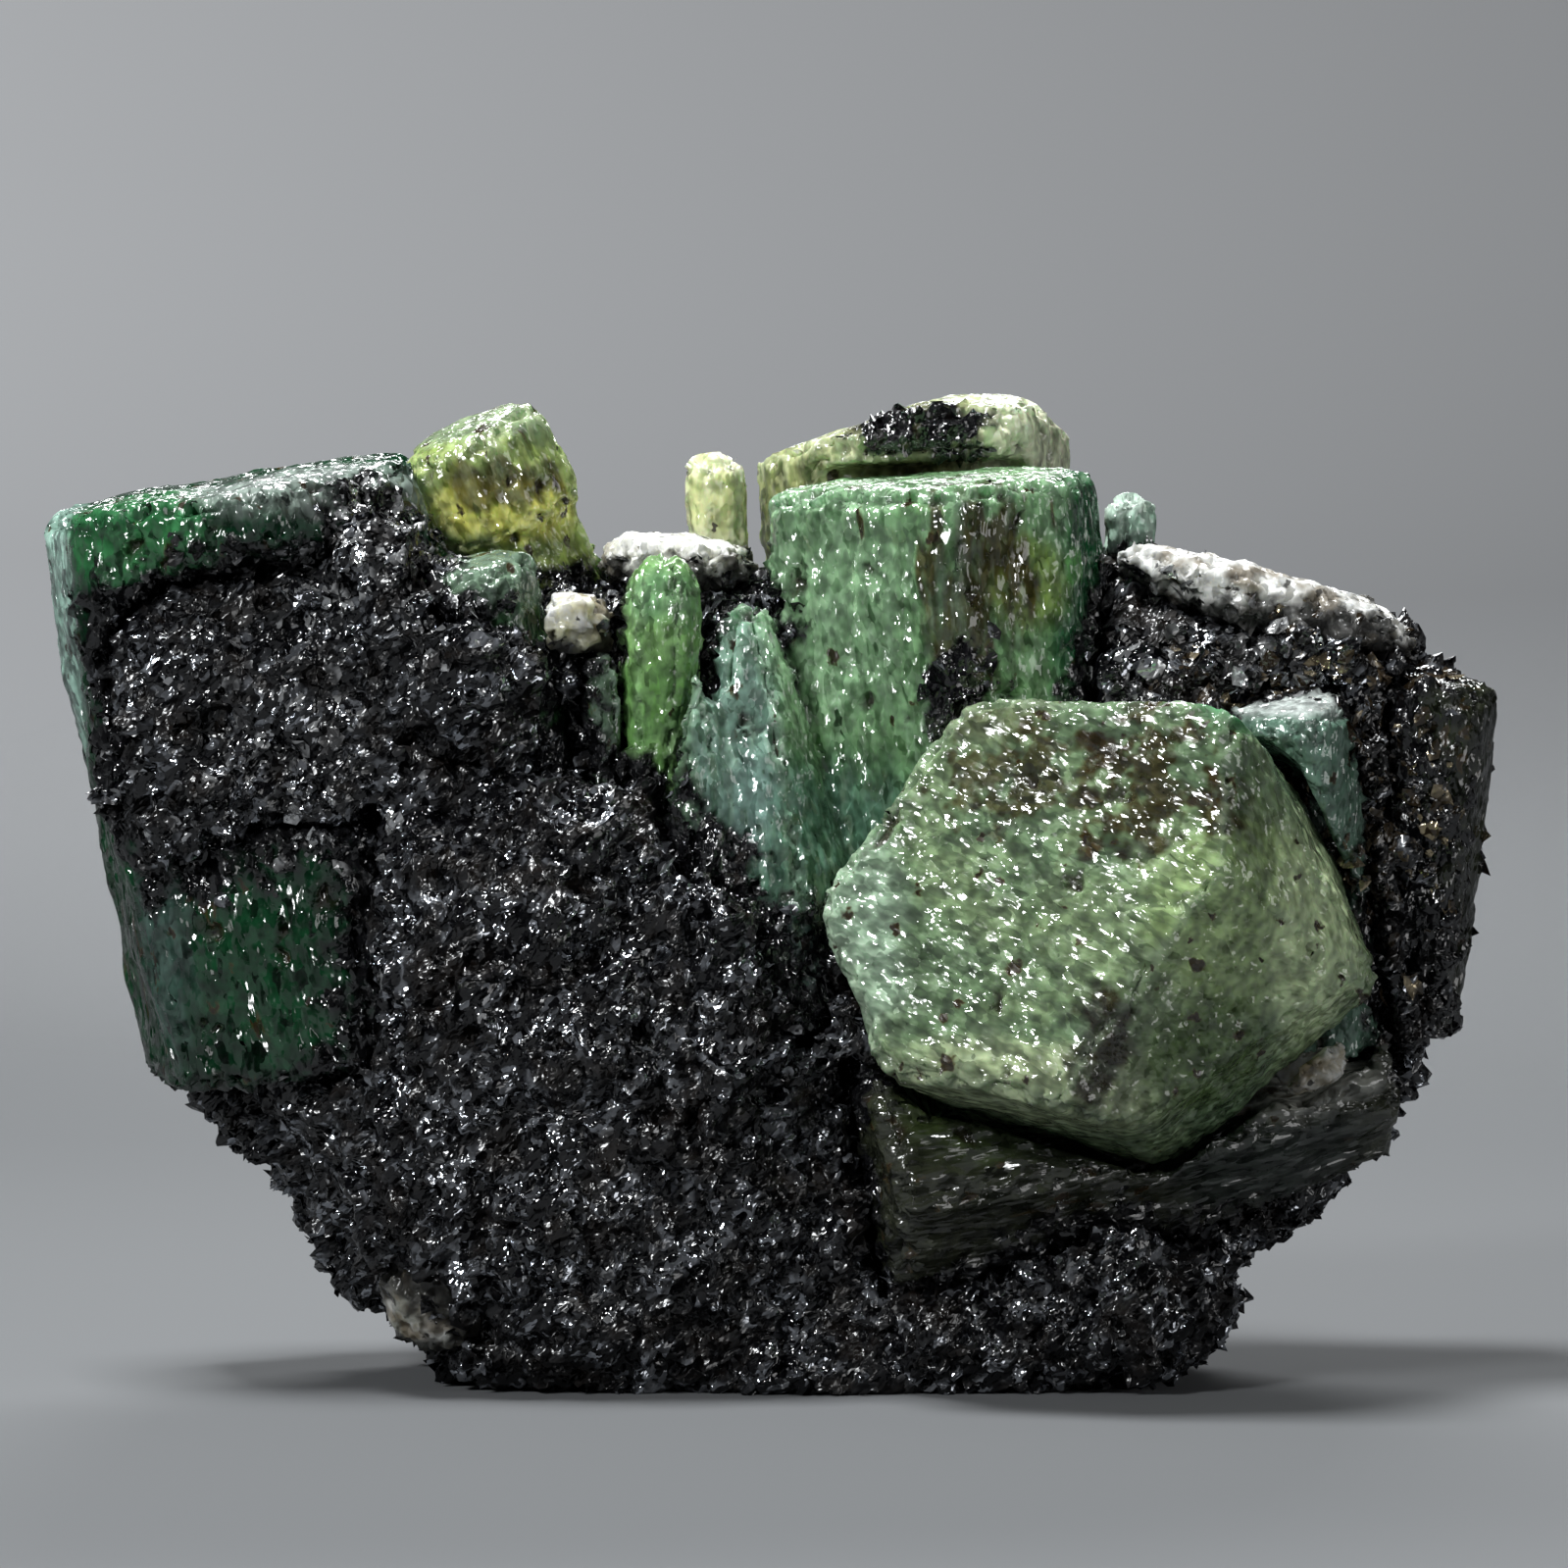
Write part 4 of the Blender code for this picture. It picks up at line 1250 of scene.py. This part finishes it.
EMERALD_DEEP = Beryl(
    "emerald_deep",
    body=(0.004, 0.034, 0.013),
    cloud=(0.008, 0.06, 0.022),
    pale=(0.016, 0.07, 0.034),
    along=LEFT_GROWTH,
    streaks=0.42,
    specks=0.3,
    facet=0.36,
    facet_tilt=1.25,
    zones=(
        Zone((-25.2, -5.0, 34.4), (3.6, 7.0, 2.8), (0.05, 0.23, 0.08)),
        Zone((-29.4, -1.0, 31.0), (1.6, 9.0, 7.5), (0.4, 0.62, 0.52), 1.0, 0.5),
        # Painted highlight: a pale band along the top that stands in for the silvery glints there.
        Zone((-18.5, -5.0, 36.2), (5.5, 7.0, 1.5), (0.34, 0.4, 0.36)),
        Zone((-24.8, -6.0, 17.0), (1.6, 4.0, 5.0), (0.08, 0.14, 0.12), 0.7, 1.4),
    ),
)
BERYL_YELLOW_GREEN = Beryl(
    "beryl_yellow_green",
    body=(0.32, 0.42, 0.12),
    cloud=(0.44, 0.55, 0.22),
    pale=(0.6, 0.68, 0.4),
    along=TILTED_GROWTH,
    streaks=0.3,
    specks=0.28,
    glow=0.4,
    zones=(
        Zone((-12.6, -1.2, 39.4), (4.5, 4.0, 1.5), (0.26, 0.35, 0.22)),
        Zone((-9.0, -3.0, 33.4), (3.8, 5.0, 1.8), (0.16, 0.22, 0.035)),
        Zone((-10.6, -3.4, 35.7), (4.4, 4.0, 1.3), (0.88, 0.88, 0.2), 1.0, 1.0),
        Zone((-10.3, -4.0, 36.8), (2.6, 3.0, 1.0), (0.08, 0.05, 0.008), 0.8, 3.4),
    ),
)
BERYL_YELLOW_PALE = Beryl(
    "beryl_yellow_pale",
    body=(0.36, 0.4, 0.17),
    cloud=(0.56, 0.62, 0.32),
    pale=(0.7, 0.75, 0.52),
    streaks=0.12,
    specks=0.12,
    glow=0.35,
    zones=(
        # Painted light: a near-white patch on the right end, standing in for light that shines through the
        # crystal.
        Zone((11.8, 6.0, 39.0), (4.2, 8.0, 3.4), (0.82, 0.88, 0.6), 1.0),
        Zone((5.6, 3.0, 39.2), (2.6, 5.0, 1.9), (0.06, 0.042, 0.016), 0.7, 2.8),
    ),
)
EMERALD_GRASS = Beryl(
    "emerald_grass", (0.15, 0.34, 0.09), (0.22, 0.42, 0.14), (0.36, 0.56, 0.3), streaks=0.12, specks=0.12,
    zones=(Zone((-4.4, -7.0, 32.0), (1.6, 2.0, 1.4), (0.16, 0.34, 0.16)),),
)
EMERALD_GREY_GREEN = Beryl("emerald_grey_green", (0.07, 0.13, 0.07), (0.13, 0.21, 0.13), streaks=0.2)
EMERALD_DARK = Beryl(
    "emerald_dark", (0.028, 0.09, 0.03), (0.05, 0.14, 0.055), (0.14, 0.24, 0.14), streaks=0.35, specks=0.3,
    zones=(Zone((-11.2, -7.5, 33.0), (4.5, 5.0, 1.7), (0.2, 0.28, 0.21)),),
)
BERYL_PALE_BLUE = Beryl(
    "beryl_pale_blue", (0.38, 0.6, 0.46), (0.52, 0.7, 0.58), (0.8, 0.88, 0.8), streaks=0.2
)
EMERALD_BLUE_DARK = Beryl(
    "emerald_blue_dark", (0.07, 0.15, 0.1), (0.11, 0.2, 0.145), (0.2, 0.3, 0.25), streaks=0.2, specks=0.2,
    # Painted highlight: a pale band on the top, where the light from above falls.
    zones=(Zone((20.9, -5.4, 28.2), (3.6, 4.0, 1.3), (0.66, 0.7, 0.68)),),
)
BERYL_OLIVE_DARK = Beryl(
    "beryl_olive_dark", (0.012, 0.015, 0.008), (0.02, 0.024, 0.012), (0.05, 0.055, 0.04),
    streaks=0.4, specks=0.4,
)
BERYL_OLIVE_GREY = Beryl(
    "beryl_olive_grey", (0.022, 0.026, 0.013), (0.036, 0.04, 0.024), (0.06, 0.065, 0.05),
    along=LOWER_GROWTH, streaks=0.35, specks=0.35, facet_stretch=3.0,
    zones=(
        Zone((8.6, -8.0, 11.2), (4.2, 5.0, 1.8), (0.045, 0.07, 0.018)),
        Zone((20.0, -5.0, 9.5), (5.0, 5.0, 3.0), (0.02, 0.03, 0.024)),
        Zone((21.8, -6.5, 13.0), (3.8, 5.0, 2.2), (0.5, 0.51, 0.46), 0.85, 1.2),
    ),
)
BERYL_STRAW = Beryl(
    "beryl_straw", (0.78, 0.84, 0.4), (0.84, 0.9, 0.55), (0.9, 0.92, 0.7), streaks=0.2, glow=0.4
)

SMALL_CRYSTAL = Relief(
    0.18, swell=(2.2, 0.2), rib=(0.6, 0.14), grain=(0.6, 0.12), pit=(1.1, 0.2), pit_share=0.15
)
STONE = Relief(0.2, swell=(1.8, 0.45), rib=(0.9, 0.0), grain=(0.55, 0.2), pit=(1.1, 0.3), plate=(1.3, 0.5))
CRUST = Relief(
    0.2, swell=(1.5, 0.6), rib=(0.9, 0.0), grain=(0.5, 0.3), pit=(0.9, 0.4), pit_share=0.4, plate=(1.1, 0.8)
)

QUARTZ_STRAW = Pale("quartz_straw", StoneKind.QUARTZ, (0.76, 0.75, 0.52), mica=0.2)
QUARTZ_CREAM = Pale("quartz_cream", StoneKind.QUARTZ, (0.46, 0.42, 0.32))
QUARTZ_GREY = Pale("quartz_grey", StoneKind.QUARTZ, (0.34, 0.35, 0.31))
FELDSPAR_SILVER = Pale("feldspar_silver", StoneKind.FELDSPAR, (0.86, 0.87, 0.84), mica=0.2)
FELDSPAR_CREAM = Pale("feldspar_cream", StoneKind.FELDSPAR, (0.86, 0.87, 0.78), mica=0.2)

PIECES = (
    CrystalPiece(
        "crystal_front", "emerald_front", EMERALD_PALE, Relief(0.2, pit_share=0.14, seed=2), FRONT_GROWTH
    ),
    CrystalPiece(
        "crystals_central", "emerald_central", EMERALD_BLUE_GREEN,
        Relief(0.2, creep=2.0, patches=((7.6, -7.9, 28.2), (0.0, -7.8, 16.8)), seed=3), CENTRAL_GROWTH,
    ),
    CrystalPiece(
        "crystal_left", "emerald_left", EMERALD_DEEP,
        Relief(
            0.23, swell=(3.0, 0.8), rib=(1.1, 0.4), grain=(0.8, 0.3), pit_share=0.3, creep=2.2, seed=4,
            patches=(
                (-24.9, -7.4, 30.8), (-25.7, -7.0, 26.1), (-24.1, -6.9, 22.5), (-17.5, -7.4, 22.6),
                (-21.0, -8.0, 32.5),
            ),
        ),
        LEFT_GROWTH,
    ),
    CrystalPiece(
        "crystal_tilted", "beryl_tilted", BERYL_YELLOW_GREEN,
        Relief(0.18, swell=(2.4, 0.2), rib=(0.7, 0.12), pit=(1.1, 0.25), seed=5), TILTED_GROWTH,
    ),
    CrystalPiece(
        "crystal_back", "beryl_back", BERYL_YELLOW_PALE,
        Relief(0.23, pit_share=0.3, patches=((4.7, 1.0, 39.8), (7.6, 1.4, 39.4)), seed=6),
    ),
    CrystalPiece("crystal_finger", "emerald_finger", EMERALD_GRASS, SMALL_CRYSTAL),
    CrystalPiece("crystal_sliver", "emerald_sliver", EMERALD_GREY_GREEN, SMALL_CRYSTAL),
    CrystalPiece("crystal_middle", "emerald_middle", EMERALD_DARK, replace(SMALL_CRYSTAL, creep=1.3)),
    CrystalPiece("crystal_small_right", "beryl_small_right", BERYL_PALE_BLUE, SMALL_CRYSTAL),
    CrystalPiece("crystal_right_inner", "emerald_right_inner", EMERALD_BLUE_DARK, SMALL_CRYSTAL),
    CrystalPiece(
        "crystal_right_end", "beryl_right_end", BERYL_OLIVE_DARK, replace(SMALL_CRYSTAL, creep=2.6)
    ),
    CrystalPiece(
        "crystal_lower", "beryl_lower", BERYL_OLIVE_GREY,
        Relief(0.23, swell=(3.0, 0.5), rib=(1.1, 0.45), seed=7), LOWER_GROWTH,
    ),
    CrystalPiece("crystal_pale_stub", "beryl_pale_stub", BERYL_STRAW, SMALL_CRYSTAL),
    CrystalPiece("quartz_upper", "quartz_grain_upper", QUARTZ_STRAW, STONE),
    CrystalPiece("quartz_right", "quartz_grain_right", QUARTZ_CREAM, STONE),
    CrystalPiece("quartz_lower", "quartz_grain_lower", QUARTZ_GREY, STONE),
    CrystalPiece("feldspar_ridge", "feldspar_crust_ridge", FELDSPAR_SILVER, CRUST),
    CrystalPiece("feldspar_saddle", "feldspar_crust_saddle", FELDSPAR_CREAM, CRUST),
)

MICA_BODY = Mica("mica_black")
MICA_RELIEF = Relief(
    0.3, lift=0.1, swell=(4.5, 1.5), rib=(1.5, 0.7), grain=(0.8, 0.35), pit=(2.6, 0.8), pit_share=0.35,
    plate=(1.5, 1.1), wear=0.0, creep=0.1, cover=1.0, seed=8,
)
BLACK_FLAKES = Mica(
    "mica_flakes_black", light=(0.5, 0.52, 0.57), light_share=0.36, plate=0.3, tilt=1.0,
    own_shade=True,
)
SILVER_FLAKES = Mica(
    "mica_flakes_silver", dark=(0.006, 0.006, 0.007), light=(0.8, 0.81, 0.83), light_share=0.65,
    metal=1.0, plate=0.3, tilt=0.9, own_shade=True,
)
BRIGHT_FLAKES = Mica(
    "mica_flakes_bright", dark=(0.03, 0.03, 0.032), light=(0.78, 0.79, 0.8), light_share=0.8,
    metal=0.8, plate=0.35, tilt=0.9, own_shade=True,
)
GOLDEN_FLAKES = Mica(
    "mica_flakes_golden", dark=(0.03, 0.02, 0.01), light=(0.6, 0.5, 0.33), light_share=0.5,
    metal=0.9, plate=0.35, tilt=0.9, own_shade=True,
)
BRIGHT_PLACES = (  # name, flakes on a square millimetre, size, centre, reach and seed
    ("saddle", 2.6, 0.5, (17.5, -2.5, 31.5), 8.0, 14),
    ("ridge", 2.2, 0.45, (-13.8, -6.5, 33.5), 7.0, 15),
    ("ledge", 2.2, 0.45, (-19.5, -7.5, 24.0), 6.0, 16),
    ("brow", 4.5, 0.42, (-17.5, -5.5, 36.4), 10.0, 17),
)


@dataclass(frozen=True)
class Matrix:
    """The mica that holds the crystals: its body and the flakes on it."""

    node: str = "mica_matrix"
    schist_grain: Triple = (0.72, 0.2, 0.66)
    beds: tuple[FlakeBed, ...] = (
        FlakeBed("mica_flakes_black", BLACK_FLAKES, 1.35, seed=11),
        FlakeBed("mica_flakes_silver", SILVER_FLAKES, 0.8, 0.34, clump=1.0, seed=12),
        FlakeBed(
            "mica_flakes_golden", GOLDEN_FLAKES, 2.4, 0.55, centre=(24.0, -5.0, 24.0), reach=10.0, seed=13
        ),
        *(
            FlakeBed(
                f"mica_flakes_{place}", BRIGHT_FLAKES, crowd, size, centre=centre, reach=reach, seed=seed
            )
            for place, crowd, size, centre, reach, seed in BRIGHT_PLACES
        ),
    )

    def build(
        self, skin: SkinTree, flakes: FlakeTree, effects: Effects, crystals: list[Object]
    ) -> list[Object]:
        """Carve the body and grow the flakes.

        Args:
            skin: The carving tree.
            flakes: The scattering tree.
            effects: The shared shader effects.
            crystals: The finished crystals and stones, which carry flakes too.

        Returns:
            The finished pieces.
        """
        base = copy_of_nodes("mica_body", [self.node])
        shapes = copy_of_nodes("crystal_shapes", [piece.node for piece in PIECES])
        finish = MICA_BODY.make(effects)
        body = skin.carve("mica_body", base, MICA_RELIEF, self.schist_grain, finish, shapes)
        bpy.data.objects.remove(shapes)
        host = joined([body, *crystals])
        grown = [bed.build(flakes, effects, host) for bed in self.beds]
        hand_over(body, (self.node,))
        return [body, *grown]


def joined(items: list[Object]) -> Mesh:
    """Return one new mesh with the shapes of some objects and what their points keep."""
    mesh = bmesh.new()
    for item in items:
        mesh.from_mesh(item.data)
    return written(mesh, "host")


@dataclass(frozen=True)
class Lamp:
    """A studio light: a soft panel, or a round spot where it has a cone.

    Attributes:
        name: Name of the light.
        place: Its place in mm.
        size: Its width and height in mm.
        radiance: How bright its face is.
        colour: Its colour.
        aim: What it points at, in mm.
        cone: Full angle of a spot's cone in degrees, or zero for a panel.
    """

    name: str
    place: Triple
    size: Pair
    radiance: float
    colour: Triple = (1.0, 1.0, 1.0)
    aim: Triple = (0.0, 0.0, 20.0)
    cone: float = 0.0

    def hang(self) -> None:
        """Put the light into the scene."""
        width, height = self.size[0] * MM, self.size[1] * MM
        if self.cone:
            data = bpy.data.lights.new(self.name, "SPOT")
            data.shadow_soft_size = 0.5 * width
            data.spot_size, data.spot_blend = math.radians(self.cone), 1.0
            data.energy = self.radiance * math.pi * math.pi * width * width
        else:
            data = bpy.data.lights.new(self.name, "AREA")
            data.shape = "RECTANGLE"
            data.size, data.size_y = width, height
            data.energy = self.radiance * math.pi * width * height
        data.color = self.colour
        item = add_object(self.name, data)
        item.visible_camera = False
        item.location = Vector(self.place) * MM
        item.rotation_euler = (Vector(self.aim) - Vector(self.place)).to_track_quat("-Z", "Y").to_euler()


@dataclass(frozen=True)
class Studio:
    """The plain floor that runs up into a wall all round, the lights and the camera.

    Attributes:
        floor_radius: Radius of the flat floor in mm.
        wall_radius: Radius of the wall in mm.
        wall_height: Height of the wall in mm.
        paper: Colour of the floor and the wall.
        bounced: Colour in which they throw the light back onto the object.
        air: Light from all round.
        camera_place: Place of the camera in mm.
        view_width: Width of the view at the middle of the object, in mm.
        lamps: The lights.
    """

    floor_radius: float = 160.0
    wall_radius: float = 1000.0
    wall_height: float = 1100.0
    paper: Triple = (0.165, 0.171, 0.178)
    bounced: Triple = (0.085, 0.088, 0.092)
    air: float = 0.02
    camera_place: Triple = (0.59, -230.0, 24.5)
    view_width: float = 64.76
    lamps: tuple[Lamp, ...] = (
        Lamp("window", (-170.0, -240.0, 185.0), (66.0, 48.0), 56.0, (0.97, 0.99, 1.0)),
        Lamp("skylight", (-70.0, -20.0, 330.0), (92.0, 78.0), 58.0, (0.97, 0.99, 1.0)),
        Lamp("back_window", (30.0, 300.0, 230.0), (200.0, 70.0), 16.0, (0.97, 0.99, 1.0)),
        Lamp("room_right", (260.0, -160.0, 90.0), (200.0, 160.0), 1.7),
        Lamp("sky", (0.0, 0.0, 1000.0), (900.0, 900.0), 0.15),
        Lamp(
            "wall_spot", (-400.0, 200.0, 600.0), (100.0, 100.0), 440.0,
            aim=(-160.0, 700.0, 140.0), cone=96.0,
        ),
    )

    PAPER_ROUGHNESS: ClassVar[float] = 0.9
    SENSOR: ClassVar[float] = 36.0
    CLIP: ClassVar[Pair] = (MM, 10.0)
    TURNS: ClassVar[int] = 96
    BEND_STEPS: ClassVar[int] = 12

    def profile(self) -> list[Pair]:
        """Return the radius and height of each ring of the floor and wall, in mm."""
        bend = self.wall_radius - self.floor_radius
        rings = [(self.floor_radius * k / 4.0, 0.0) for k in range(1, 5)]
        for step in range(1, self.BEND_STEPS + 1):
            angle = 0.5 * math.pi * step / self.BEND_STEPS
            rings.append((self.floor_radius + bend * math.sin(angle), bend * (1.0 - math.cos(angle))))
        return [*rings, (self.wall_radius, self.wall_height)]

    def build_stage(self) -> Object:
        """Build the floor and wall as one sheet that faces the object."""
        mesh = bmesh.new()
        middle = mesh.verts.new((0.0, 0.0, 0.0))
        inner: list[bmesh.types.BMVert] = []
        for radius, height in self.profile():
            ring = []
            for turn in range(self.TURNS):
                angle = math.tau * turn / self.TURNS
                place = Vector((radius * math.cos(angle), radius * math.sin(angle), height))
                ring.append(mesh.verts.new(place * MM))
            for turn in range(self.TURNS):
                after = (turn + 1) % self.TURNS
                if inner:
                    mesh.faces.new((inner[turn], ring[turn], ring[after], inner[after]))
                else:
                    mesh.faces.new((middle, ring[turn], ring[after]))
            inner = ring
        for face in mesh.faces:
            face.smooth = True
        item = add_object("studio_floor", written(mesh, "studio_floor"))
        material, bench, surface = open_material("studio_paper")
        seen = bench.add("ShaderNodeLightPath").outputs["Is Camera Ray"]
        colour = bench.blend(seen, self.bounced, self.paper)
        bench.fill(surface, {"Base Color": colour, "Roughness": self.PAPER_ROUGHNESS})
        item.data.materials.append(material)
        return item

    def light(self) -> None:
        """Hang the lights and set the light from all round."""
        for lamp in self.lamps:
            lamp.hang()
        world = bpy.data.worlds.new("studio_air")
        world.use_nodes = True
        air = world.node_tree.nodes["Background"]
        air.inputs["Color"].default_value = (1.0, 1.0, 1.0, 1.0)
        air.inputs["Strength"].default_value = self.air
        bpy.context.scene.world = world

    def set_camera(self) -> None:
        """Place the camera level with the middle of the object, as in the photograph."""
        data = bpy.data.cameras.new("camera")
        distance = -self.camera_place[1]
        data.sensor_width = self.SENSOR
        data.lens = self.SENSOR * distance / self.view_width
        data.clip_start, data.clip_end = self.CLIP
        item = add_object("camera", data)
        item.location = Vector(self.camera_place) * MM
        item.rotation_euler = (math.radians(90.0), 0.0, 0.0)
        bpy.context.scene.camera = item


def main() -> None:
    """Build the studio, the crystals, the grains and the mica, and note the sizes."""
    logging.basicConfig(level=logging.INFO, format="%(name)s: %(message)s")
    studio = Studio()
    studio.set_camera()
    studio.build_stage()
    studio.light()
    bpy.context.scene.view_settings.view_transform = "Standard"
    effects, skin, flakes = Effects(), SkinTree(), FlakeTree()
    mica = copy_of_nodes("mica_shape", [Matrix().node])
    crystals = [piece.build(skin, effects, mica) for piece in PIECES]
    bpy.data.objects.remove(mica)
    Matrix().build(skin, flakes, effects, crystals)


if __name__ == "__main__":
    main()
